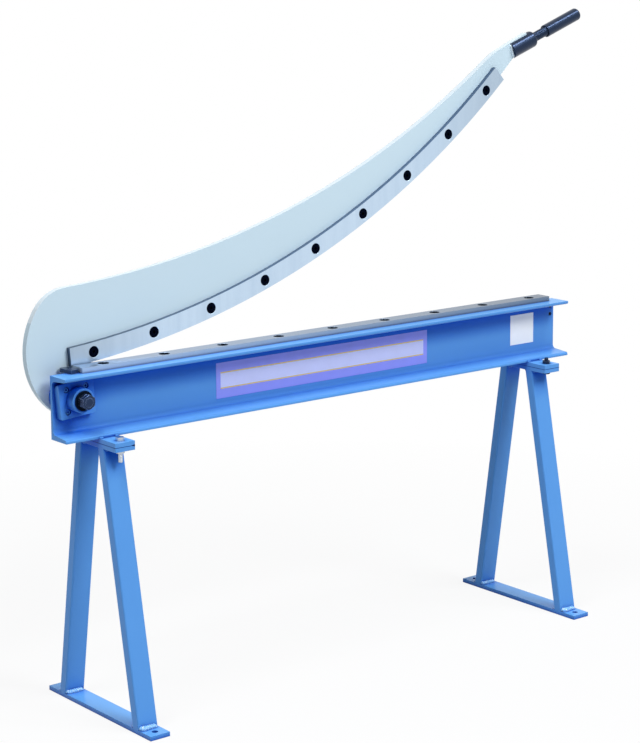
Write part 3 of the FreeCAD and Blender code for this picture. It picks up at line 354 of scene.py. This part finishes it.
bushBronze = {
    "light": (0.74, 0.52, 0.26, 1.0),
    "dark": (0.58, 0.38, 0.17, 1.0),
    "roughness": 0.30,
    "stretch": (2.0, 90.0, 2.0),
}
grinding = {
    "facing": 0.6,         # a face counts as ground above this
    "holeReach": 0.006,    # m
    "holeGain": 1.4,
    "roughDrift": 0.16,
    "marks": 0.12,
    "markDepth": 0.0004,   # m
}


def steelMaterial(name, look):
    material, tree = newMaterial(name)
    marks = placeGroup(tree, grindMarks, Stretch=look["stretch"])
    colour = mixColour(tree, marks.outputs["Tone"], look["dark"], look["light"])
    bump = bumpNode(tree, marks.outputs["Lines"], grinding["marks"], grinding["markDepth"])
    rough = roughnessAround(tree, marks.outputs["Tone"], {**grinding, **look})
    shader = addNode(tree, "ShaderNodeBsdfPrincipled", {"Metallic": 1.0, "Roughness": rough,
                                                        "Normal": bump.outputs[0]})
    if "groundAlong" in look:
        surface = addNode(tree, "ShaderNodeNewGeometry")
        facing = vectorNode(tree, "DOT_PRODUCT", surface.outputs["Normal"], look["groundAlong"])
        facing = mathNode(tree, "ABSOLUTE", facing.outputs["Value"])
        ground = mathNode(tree, "GREATER_THAN", facing, grinding["facing"])
        tree.links.new(mathNode(tree, "MAXIMUM", ground, look["sideMetal"]), shader.inputs["Metallic"])
        colour = mixColour(tree, ground, look["side"], colour)
        place = addNode(tree, "ShaderNodeTexCoord")
        apart = addNode(tree, "ShaderNodeSeparateXYZ", {0: place.outputs["Object"]})
        # painted shade: the tone dims towards each span's first x
        for first, last, share in look["dimmedSpans"]:
            dimming = addNode(tree, "ShaderNodeMapRange", {"Value": apart.outputs["X"], "From Min": first,
                                                        "From Max": last, "To Min": share, "To Max": 1.0})
            colour = vectorNode(tree, "MULTIPLY", colour, dimming.outputs[0]).outputs[0]
        # painted shade in holes and countersinks
        hole = placeGroup(tree, cornerShade, Reach=grinding["holeReach"], Gain=grinding["holeGain"])
        colour = mixColour(tree, hole.outputs["Open"], look["creviceShade"], colour)
    tree.links.new(colour, shader.inputs["Base Color"])
    finishMaterial(tree, shader)
    return material


upperBladeSteel = steelMaterial("upperBladeSteel", upperSteel)
lowerBladeSteel = steelMaterial("lowerBladeSteel", lowerSteel)
zincCoat = steelMaterial("zincCoat", zincPlate)
turnedBronze = steelMaterial("turnedBronze", bushBronze)


# blackened steel

blackSteel = {
    "base": (0.002, 0.005, 0.013, 1.0),
    "lighterTone": (0.080, 0.115, 0.20, 1.0),
    "tint": (0.30, 0.50, 1.0, 1.0),   # the bluing's colour, in its gloss
    "shine": 0.70,
    "roughness": 0.25,
    "roughDrift": 0.14,
    "ripple": 0.02,
    "rippleDepth": 0.0005,   # m
    "grain": {"Drift Scale": 60.0, "Ripple Scale": 60.0},
    "corner": 0.0008,        # m
    "edgeShare": 0.8,
}
nutSteel = {
    **blackSteel,
    "base": (0.009, 0.015, 0.034, 1.0),
    # on the nuts' chamfers the lighter tone is a painted highlight
    "lighterTone": (0.20, 0.27, 0.42, 1.0),
    "tint": (0.22, 0.42, 1.0, 1.0),
    "corner": 0.0014,
    "edgeShare": 1.0,
}
heelSteel = {**nutSteel, "base": (0.018, 0.030, 0.060, 1.0), "corner": 0.0008}
washerSteel = {**blackSteel, "lighterTone": (0.05, 0.08, 0.14, 1.0), "shine": 0.05, "roughness": 0.5}
dullSteel = {
    **blackSteel,
    "base": (0.001, 0.002, 0.007, 1.0),
    "lighterTone": (0.012, 0.018, 0.034, 1.0),
    "shine": 0.0,
    "roughness": 0.55,
}


def blackMaterial(name, look):
    material, tree = newMaterial(name)
    skin = placeGroup(tree, paintSkin, **look["grain"])
    edge = placeGroup(tree, softEdge, Radius=look["corner"])
    # edges take the lighter tone; on the nuts and the heel block it is a painted highlight
    share = mathNode(tree, "MULTIPLY", edge.outputs["Edge"], look["edgeShare"])
    colour = mixColour(tree, share, look["base"], look["lighterTone"])
    bump = bumpNode(tree, skin.outputs["Ripple"], look["ripple"], look["rippleDepth"])
    shader = addNode(tree, "ShaderNodeBsdfPrincipled", {
        "Base Color": colour, "Roughness": roughnessAround(tree, skin.outputs["Drift"], look),
        "Specular IOR Level": look["shine"], "Specular Tint": look["tint"], "Normal": bump.outputs[0]})
    finishMaterial(tree, shader)
    return material


blackCoat = blackMaterial("blackCoat", blackSteel)
nutCoat = blackMaterial("nutCoat", nutSteel)
heelCoat = blackMaterial("heelCoat", heelSteel)
washerCoat = blackMaterial("washerCoat", washerSteel)
dullCoat = blackMaterial("dullCoat", dullSteel)


# every node that isn't named here is painted blue
finishes = (
    (paleCoat, ("lever_plate",)),
    (upperBladeSteel, ("upper_blade",)),
    (lowerBladeSteel, ("lower_blade",)),
    (turnedBronze, ("pivot_bush",)),
    (zincCoat, ("left_stand_bolts", "left_stand_nuts", "left_stand_washers")),
    (blackCoat, ("right_stand_bolts", "right_stand_nuts", "beam_end_screws")),
    (blackCoat, ("handle_socket", "handle_stud", "handle_grip")),
    (dullCoat, ("upper_blade_screws", "lower_blade_screws")),
    (heelCoat, ("heel_block", "heel_block_screw")),
    (washerCoat, ("front_washer", "rear_washer")),
    (nutCoat, ("pivot_bolt", "pivot_nut", "lock_nut")),
    (screwPaint, ("housing_screws",)),
)
finishOf = {name: finish for finish, names in finishes for name in names}
for name, solid in nodes.items():
    solid.data.materials.clear()
    solid.data.materials.append(finishOf.get(name, blueCoat))
print("finishes on", len(nodes), "nodes")


# weld beads

weldLook = {
    # base lighter than the blue paint: a painted highlight on the bead
    "base": (0.20, 0.47, 0.86, 1.0),
    "glint": (0.80, 0.90, 1.0, 1.0),
    "creviceShade": (0.03, 0.12, 0.34, 1.0),
    "grain": {"Drift Scale": 90.0, "Ripple Scale": 260.0},
    "glintFrom": 0.62,
    "glintShare": 0.5,
    "reach": 0.004,        # m
    "gain": 1.2,
    "bump": 0.45,
    "bumpDepth": 0.002,    # m
    "roughness": 0.22,
    "footRadius": 0.0086,
    "topRadius": 0.0060,
    "tackRadius": 0.0042,
    "tackLength": 0.011,
    "socketRadius": 0.0048,
    "inset": 0.003,        # m, bead ends from the leg's sides
    "lift": 0.0008,        # m, off the plate
    "ripplePitch": 0.0052,
    "rippleDepth": 0.30,
    "ringsPerRipple": 4,
    "fewestRings": 8,
    "around": 10,
    "endSize": 0.35,       # share of the radius
    "wanderPitch": 60.0,
    "wanderApart": 7.3,    # so that no two runs wander alike
    "wanderSize": 0.30,
    "wanderAside": 0.2,
    "crestLag": 0.35,      # the crest trails behind its ripple
}
paleWeldLook = {**weldLook, "base": (0.66, 0.80, 0.90, 1.0), "creviceShade": (0.30, 0.42, 0.55, 1.0)}


def weldMaterial(name, look):
    # a thin bright coat over the bead's scales, with a few painted highlight glints scattered over it
    material, tree = newMaterial(name)
    skin = placeGroup(tree, paintSkin, **look["grain"])
    glints = mathNode(tree, "GREATER_THAN", skin.outputs["Ripple"], look["glintFrom"])
    glints = mathNode(tree, "MULTIPLY", glints, look["glintShare"])
    colour = mixColour(tree, glints, look["base"], look["glint"])
    # painted shade where the bead meets the plate
    foot = placeGroup(tree, cornerShade, Reach=look["reach"], Gain=look["gain"])
    colour = mixColour(tree, foot.outputs["Open"], look["creviceShade"], colour)
    bump = bumpNode(tree, skin.outputs["Ripple"], look["bump"], look["bumpDepth"])
    shader = addNode(tree, "ShaderNodeBsdfPrincipled", {"Base Color": colour, "Roughness": look["roughness"],
                                                        "Normal": bump.outputs[0]})
    finishMaterial(tree, shader)
    return material


weldCoat = weldMaterial("weldCoat", weldLook)
paleWeldCoat = weldMaterial("paleWeldCoat", paleWeldLook)


def weldMesh(name, runs, seed):
    # each run is (start, end, radius): a bead of overlapping ripples along the line
    look = weldLook
    build = bmesh.new()
    for number, (start, end, radius) in enumerate(runs):
        along = end - start
        length = along.length
        along.normalize()
        side = along.cross(Vector((0, 0, 1)))
        if side.length < 0.1:   # an upright run
            side = along.cross(Vector((0, 1, 0)))
        side.normalize()
        up = side.cross(along)
        steps = max(look["fewestRings"], int(length / (look["ripplePitch"] / look["ringsPerRipple"])))
        rings = []
        for i in range(steps + 1):
            t = i / steps
            fade = min(1.0, 2 * min(t, 1 - t) * length / radius + look["endSize"])
            ripple = 1 - look["rippleDepth"] * ((t * length / look["ripplePitch"]) % 1.0)
            place = (t * length * look["wanderPitch"], number * look["wanderApart"], seed)
            wander = noise.noise(Vector(place))
            size = radius * fade * ripple * (1 + look["wanderSize"] * wander)
            centre = start + along * (t * length) + side * (wander * radius * look["wanderAside"])
            ring = []
            for k in range(look["around"]):
                a = 2 * math.pi * k / look["around"]
                point = centre + side * (math.cos(a) * size) + up * (math.sin(a) * size)
                point -= along * (max(0.0, math.sin(a)) * radius * look["crestLag"])
                ring.append(build.verts.new(point))
            rings.append(ring)
        joinRings(build, rings)
    return meshFrom(build, name)


def sidesAt(solid, height):
    # front, rear, left and right of a leaning leg where it meets a plate
    rows = [v.co for v in solid.data.vertices if abs(v.co.z - height) < 0.0015]
    return min(v.y for v in rows), max(v.y for v in rows), min(v.x for v in rows), max(v.x for v in rows)


def legWelds(side):
    look = weldLook
    footRuns, topRuns = [], []
    places = ((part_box(side + "_foot_plate")[1].z, look["footRadius"], look["lift"], footRuns),
              (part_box(side + "_top_plate")[0].z, look["topRadius"], -look["lift"], topRuns))
    for leg in ("front", "rear"):
        for height, radius, lift, runs in places:
            front, rear, left, right = sidesAt(nodes[f"{side}_{leg}_leg"], height)
            for y in (front, rear):
                runs.append((Vector((left + look["inset"], y, height + lift)),
                             Vector((right - look["inset"], y, height + lift)), radius))
    low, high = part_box(side + "_tab_plate")
    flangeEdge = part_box("channel_beam")[0].y - 0.001
    for start in (low.x, high.x - look["tackLength"]):   # tacks that hold the tab to the beam
        topRuns.append((Vector((start, flangeEdge, high.z)), Vector((start + look["tackLength"], flangeEdge, high.z)),
                        look["tackRadius"]))
    newPiece(side + "_foot_welds", weldMesh(side + "FootWelds", footRuns, 3.0), weldCoat, "stand")
    newPiece(side + "_top_welds", weldMesh(side + "TopWelds", topRuns, 8.0), blueCoat, "stand")


for side in ("left", "right"):
    legWelds(side)
print("weld beads made")


# threads of the handle's stud and of the stand bolts, and the bead between socket and plate

handleLook = {
    "root": (0.6313, 0.0627, 1.4049),   # m, where the handle's axis starts in the plate
    "rise": 20.15,                      # degrees above level
    "socketRadius": 0.021,
    "studRadius": 0.012,
    "studPitch": 0.003,
    "studDepth": 0.0009,
    "weldInset": 0.002,
}
threadLook = {
    "around": 40,
    "perTurn": 6,
    "runIn": 0.2,         # share of a turn over which the ridge starts
    "boltPitch": 0.00175,
    "boltDepth": 0.0004,
    "boltTip": 0.0012,    # m, bare chamfer at the end
}


def threadMesh(name, runs):
    # each run is (start, end, crest radius, pitch, depth): one helical ridge on a capped rod
    build = bmesh.new()
    around = threadLook["around"]
    for start, end, radius, pitch, depth in runs:
        along = end - start
        length = along.length
        along.normalize()
        side = along.orthogonal().normalized()
        up = along.cross(side)
        rows = int(length / pitch * threadLook["perTurn"])
        rings = []
        for i in range(rows + 1):
            t = length * i / rows
            lead = min(1.0, (min(t, length - t) + pitch * threadLook["runIn"]) / pitch)
            ring = []
            for k in range(around):
                a = 2 * math.pi * k / around
                phase = (t / pitch - k / around) % 1.0
                size = radius - depth * max(abs(2 * phase - 1), 1 - lead)
                point = start + along * t + side * (math.cos(a) * size) + up * (math.sin(a) * size)
                ring.append(build.verts.new(point))
            rings.append(ring)
        joinRings(build, rings)
    return meshFrom(build, name)


def handleDetails():
    look = handleLook
    rise = math.radians(look["rise"])
    along = Vector((math.cos(rise), 0.0, math.sin(rise)))
    across = Vector((-math.sin(rise), 0.0, math.cos(rise)))
    root = Vector(look["root"])
    low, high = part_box("handle_stud")
    lean = look["studRadius"] * math.sin(rise)
    first = root + along * ((low.x + lean - root.x) / along.x)
    last = root + along * ((high.x - lean - root.x) / along.x)
    stud = threadMesh("threadedStud", [(first, last, look["studRadius"], look["studPitch"], look["studDepth"])])
    piece = newPiece("threaded_stud", stud, blackCoat, "lever")
    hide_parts("handle_stud")
    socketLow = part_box("handle_socket")[0]
    middle = root + along * ((socketLow.x + look["socketRadius"] * math.sin(rise) - root.x) / along.x)
    runs = []
    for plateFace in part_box("lever_plate"):
        middle.y = plateFace.y
        half = math.sqrt(look["socketRadius"] ** 2 - (plateFace.y - root.y) ** 2) - look["weldInset"]
        runs.append((middle - across * half, middle + across * half, weldLook["socketRadius"]))
    newPiece("socket_welds", weldMesh("socketWelds", runs, 5.0), paleWeldCoat, "lever")


def boltThreads(side, finish):
    # the free thread below each stand nut
    look = threadLook
    runs = []
    for front in (True, False):
        bolt = [v.co for v in nodes[side + "_stand_bolts"].data.vertices if (v.co.y < 0) == front]
        nutUnder = min(v.co.z for v in nodes[side + "_stand_nuts"].data.vertices if (v.co.y < 0) == front)
        x = (min(p.x for p in bolt) + max(p.x for p in bolt)) / 2
        y = (min(p.y for p in bolt) + max(p.y for p in bolt)) / 2
        tip = min(p.z for p in bolt)
        shank = max(math.hypot(p.x - x, p.y - y) for p in bolt if p.z < nutUnder - 0.0005)
        runs.append((Vector((x, y, tip + look["boltTip"])), Vector((x, y, nutUnder)),
                     shank + look["boltDepth"], look["boltPitch"], look["boltDepth"]))
    newPiece(side + "_bolt_threads", threadMesh(side + "BoltThreads", runs), finish, "stand")


handleDetails()
boltThreads("left", zincCoat)
boltThreads("right", blackCoat)
print("threads made")


# blank stickers on the web

stickers = {
    "webFace": 0.023,
    "wide": {"left": -0.3135, "right": 0.3220, "low": 0.6584, "high": 0.7407},
    "square": {"left": 0.6030, "right": 0.6830, "low": 0.6655, "high": 0.7418},
    "band": {"low": 0.6830, "high": 0.7160, "inset": 0.012},
    "ruleHeight": 0.0028,
    "proud": 0.0003,
    "bandProud": 0.00038,
    "ruleProud": 0.00042,
    "corner": 0.0008,
    "cornerSteps": 4,
    "field": (0.25, 0.29, 0.90, 1.0),
    "bandColour": (0.55, 0.60, 0.93, 1.0),
    "rule": (0.66, 0.50, 0.17, 1.0),
    "blank": (0.90, 0.93, 0.96, 1.0),
    "grain": {"Drift Scale": 30.0, "Ripple Scale": 300.0},
    "drift": 0.9,          # the darker tone's share of the lighter
    "roughness": 0.25,
    "ripple": 0.03,
    "rippleDepth": 0.0005,
}


def stickerMaterial(name, colour):
    material, tree = newMaterial(name)
    skin = placeGroup(tree, paintSkin, **stickers["grain"])
    tone = mixColour(tree, skin.outputs["Drift"], colour, lighter(colour, stickers["drift"]))
    bump = bumpNode(tree, skin.outputs["Ripple"], stickers["ripple"], stickers["rippleDepth"])
    shader = addNode(tree, "ShaderNodeBsdfPrincipled", {"Base Color": tone, "Roughness": stickers["roughness"],
                                                        "Normal": bump.outputs[0]})
    finishMaterial(tree, shader)
    return material


def patchOnWeb(name, area, proud, material):
    # a thin rounded sheet lying on the web's front face
    build = bmesh.new()
    y = stickers["webFace"] - proud
    r = stickers["corner"]
    left, right, low, high = area
    corners = ((right - r, high - r, 0), (left + r, high - r, 90), (left + r, low + r, 180), (right - r, low + r, 270))
    ring = []
    for cx, cz, first in corners:
        for step in range(stickers["cornerSteps"] + 1):
            a = math.radians(first + step * 90 / stickers["cornerSteps"])
            ring.append(build.verts.new((cx + r * math.cos(a), y, cz + r * math.sin(a))))
    face = build.faces.new(ring)
    lifted = bmesh.ops.extrude_face_region(build, geom=[face])
    for v in lifted["geom"]:
        if isinstance(v, bmesh.types.BMVert):
            v.co.y += proud
    return newPiece(name, meshFrom(build, name), material, "stand", smooth=False)


def webStickers():
    wide, square, band = stickers["wide"], stickers["square"], stickers["band"]
    rule = stickers["ruleHeight"]
    left, right = wide["left"] + band["inset"], wide["right"] - band["inset"]
    gold = stickerMaterial("stickerRule", stickers["rule"])
    patchOnWeb("web_sticker", (wide["left"], wide["right"], wide["low"], wide["high"]), stickers["proud"],
               stickerMaterial("stickerField", stickers["field"]))
    patchOnWeb("web_sticker_band", (left, right, band["low"], band["high"]), stickers["bandProud"],
               stickerMaterial("stickerBand", stickers["bandColour"]))
    patchOnWeb("web_sticker_rule_high", (left, right, band["high"], band["high"] + rule), stickers["ruleProud"], gold)
    patchOnWeb("web_sticker_rule_low", (left, right, band["low"] - rule, band["low"]), stickers["ruleProud"], gold)
    patchOnWeb("blank_plate", (square["left"], square["right"], square["low"], square["high"]), stickers["proud"],
               stickerMaterial("blankPlate", stickers["blank"]))


webStickers()
print("blank stickers laid on the web")


# joint between the tab plates and the stands' top plates

seamLook = {
    "colour": (0.004, 0.020, 0.090, 1.0),
    "lighterTone": 2.2,           # the lighter tone, as times the colour
    "grain": {"Drift Scale": 50.0},
    "roughness": 0.7,
    "shine": 0.1,
    "height": 0.0008,
    "proud": 0.0002,
    "depth": 0.002,
    "gapWidth": 0.010,
    "gapHeight": 0.0045,
}


def seamMaterial(name, look):
    material, tree = newMaterial(name)
    skin = placeGroup(tree, paintSkin, **look["grain"])
    colour = mixColour(tree, skin.outputs["Drift"], look["colour"], lighter(look["colour"], look["lighterTone"]))
    shader = addNode(tree, "ShaderNodeBsdfPrincipled", {"Base Color": colour, "Roughness": look["roughness"],
                                                        "Specular IOR Level": look["shine"]})
    finishMaterial(tree, shader)
    return material


def plateSeam(side, material):
    out, depth, half = seamLook["proud"], seamLook["depth"], seamLook["height"] / 2
    low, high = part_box(side + "_top_plate")
    build = bmesh.new()
    spans = ((low.x - out, high.x + out, low.y - out, low.y + depth),
             (low.x - out, high.x + out, high.y - depth, high.y + out),
             (low.x - out, low.x + depth, low.y, high.y),
             (high.x - depth, high.x + out, low.y, high.y))
    for x0, x1, y0, y1 in spans:
        corners = [build.verts.new((x, y, z)) for z in (high.z - half, high.z + half)
                   for x, y in ((x0, y0), (x1, y0), (x1, y1), (x0, y1))]
        for loop in ((0, 3, 2, 1), (4, 5, 6, 7), (0, 1, 5, 4), (1, 2, 6, 5), (2, 3, 7, 6), (3, 0, 4, 7)):
            build.faces.new([corners[k] for k in loop])
    if side == "left":   # the plates part a little at this corner
        wide, tall = seamLook["gapWidth"], seamLook["gapHeight"] / 2
        profile = ((high.x - wide, high.z), (high.x - out, high.z - tall), (high.x - out, high.z + tall))
        near, far = ([build.verts.new((x, y, z)) for x, z in profile] for y in (low.y - out, low.y + depth))
        joinRings(build, [near, far])
    newPiece(side + "_plate_seam", meshFrom(build, side + "PlateSeam"), material, "stand", smooth=False)


seamDark = seamMaterial("seamDark", seamLook)
for side in ("left", "right"):
    plateSeam(side, seamDark)
print("plate seams made")


# stage: floor, world, lamps, camera

stageLook = {
    "floorSize": 60.0,
    "floorDrop": 0.0005,
    "floorColour": (0.72, 0.73, 0.75, 1.0),
    "shadowKept": 0.11,          # share of the floor's own shading that the camera sees
    "shadowReach": (1.1, 2.2),   # m from the middle, over which that share fades out
    "sky": (0.93, 0.96, 1.0, 1.0),
    "skyLevel": 0.02,
    "aim": (0.0, 0.0, 0.75),
}
lamps = {
    "front": {"place": (1.74, -6.46, 6.77), "size": 4.0, "power": 625.0},
    "left": {"place": (-4.35, -1.16, 8.55), "size": 4.0, "power": 555.0},
    "right": {"place": (3.50, -3.62, 8.21), "size": 1.6, "power": 165.0},
}
white = (1.0, 1.0, 1.0, 1.0)


def whiteToCamera(tree, weight):
    # 1 for rays from the camera, from gloss and through glass
    path = addNode(tree, "ShaderNodeLightPath")
    seen = mathNode(tree, "ADD", path.outputs["Is Camera Ray"], path.outputs["Is Glossy Ray"])
    seen = mathNode(tree, "ADD", seen, path.outputs["Is Transmission Ray"], clamp=True)
    return mathNode(tree, "MULTIPLY", seen, weight)


def makeWorld():
    world = bpy.data.worlds.new("studio")
    bpy.context.scene.world = world
    world.use_nodes = True
    tree = world.node_tree
    tree.nodes.clear()
    soft = addNode(tree, "ShaderNodeBackground", {"Color": stageLook["sky"], "Strength": stageLook["skyLevel"]})
    bright = addNode(tree, "ShaderNodeBackground", {"Color": white, "Strength": 1.0})
    mix = addNode(tree, "ShaderNodeMixShader", {0: whiteToCamera(tree, 1.0), 1: soft.outputs[0], 2: bright.outputs[0]})
    out = tree.nodes.new("ShaderNodeOutputWorld")
    tree.links.new(mix.outputs[0], out.inputs["Surface"])


def floorMaterial():
    material, tree = newMaterial("studioFloor")
    plain = addNode(tree, "ShaderNodeBsdfDiffuse", {"Color": stageLook["floorColour"]})
    bright = addNode(tree, "ShaderNodeEmission", {"Color": white, "Strength": 1.0})
    place = addNode(tree, "ShaderNodeTexCoord")
    reach = vectorNode(tree, "LENGTH", place.outputs["Object"])
    near, far = stageLook["shadowReach"]
    share = addNode(tree, "ShaderNodeMapRange", {"Value": reach.outputs["Value"], "From Min": near, "From Max": far,
                                                 "To Min": 1.0 - stageLook["shadowKept"], "To Max": 1.0})
    seen = whiteToCamera(tree, share.outputs[0])
    mix = addNode(tree, "ShaderNodeMixShader", {0: seen, 1: plain.outputs[0], 2: bright.outputs[0]})
    finishMaterial(tree, mix)
    return material


def makeFloor():
    build = bmesh.new()
    bmesh.ops.create_grid(build, x_segments=8, y_segments=8, size=stageLook["floorSize"] / 2)
    floor = bpy.data.objects.new("studioFloor", meshFrom(build, "studioFloor", outward=False))
    floor.location.z = -stageLook["floorDrop"]
    floor.data.materials.append(floorMaterial())
    bpy.context.scene.collection.objects.link(floor)


def addLamp(name, look):
    data = bpy.data.lights.new(name, "AREA")
    data.shape = "DISK"
    data.size = look["size"]
    data.energy = look["power"]
    lamp = bpy.data.objects.new(name, data)
    lamp.location = look["place"]
    towards = Vector(stageLook["aim"]) - Vector(look["place"])
    lamp.rotation_euler = towards.to_track_quat("-Z", "Y").to_euler()
    bpy.context.scene.collection.objects.link(lamp)


cameraLook = {
    "place": (-3.08804, -3.82678, 1.70747),
    "yaw": 38.6325,      # degrees from +Y towards +X
    "pitch": -9.35024,
    "roll": -0.32986,
    "focal": 2139.9955,  # pixels of a 640 x 743 picture
    "centreY": 281.445,
    "pictureHeight": 743,
    "sensor": 36.0,      # mm, along the picture's longer side
}


def makeCamera():
    yaw, pitch, roll = (math.radians(cameraLook[k]) for k in ("yaw", "pitch", "roll"))
    forward = Vector((math.sin(yaw) * math.cos(pitch), math.cos(yaw) * math.cos(pitch), math.sin(pitch)))
    level = Vector((math.cos(yaw), -math.sin(yaw), 0.0))
    upright = level.cross(forward)
    right = level * math.cos(roll) + upright * math.sin(roll)
    up = upright * math.cos(roll) - level * math.sin(roll)
    height = cameraLook["pictureHeight"]
    data = bpy.data.cameras.new("camera")
    data.sensor_width = cameraLook["sensor"]
    data.lens = cameraLook["focal"] * cameraLook["sensor"] / height
    data.shift_y = (cameraLook["centreY"] - height / 2) / height
    camera = bpy.data.objects.new("camera", data)
    turn = Matrix((right, up, -forward)).transposed()
    camera.matrix_world = Matrix.Translation(cameraLook["place"]) @ turn.to_4x4()
    bpy.context.scene.collection.objects.link(camera)
    bpy.context.scene.camera = camera


makeWorld()
makeFloor()
for name, look in lamps.items():
    addLamp(name, look)
makeCamera()
bpy.context.scene.view_settings.view_transform = "Standard"
print("stage, lamps and camera made")
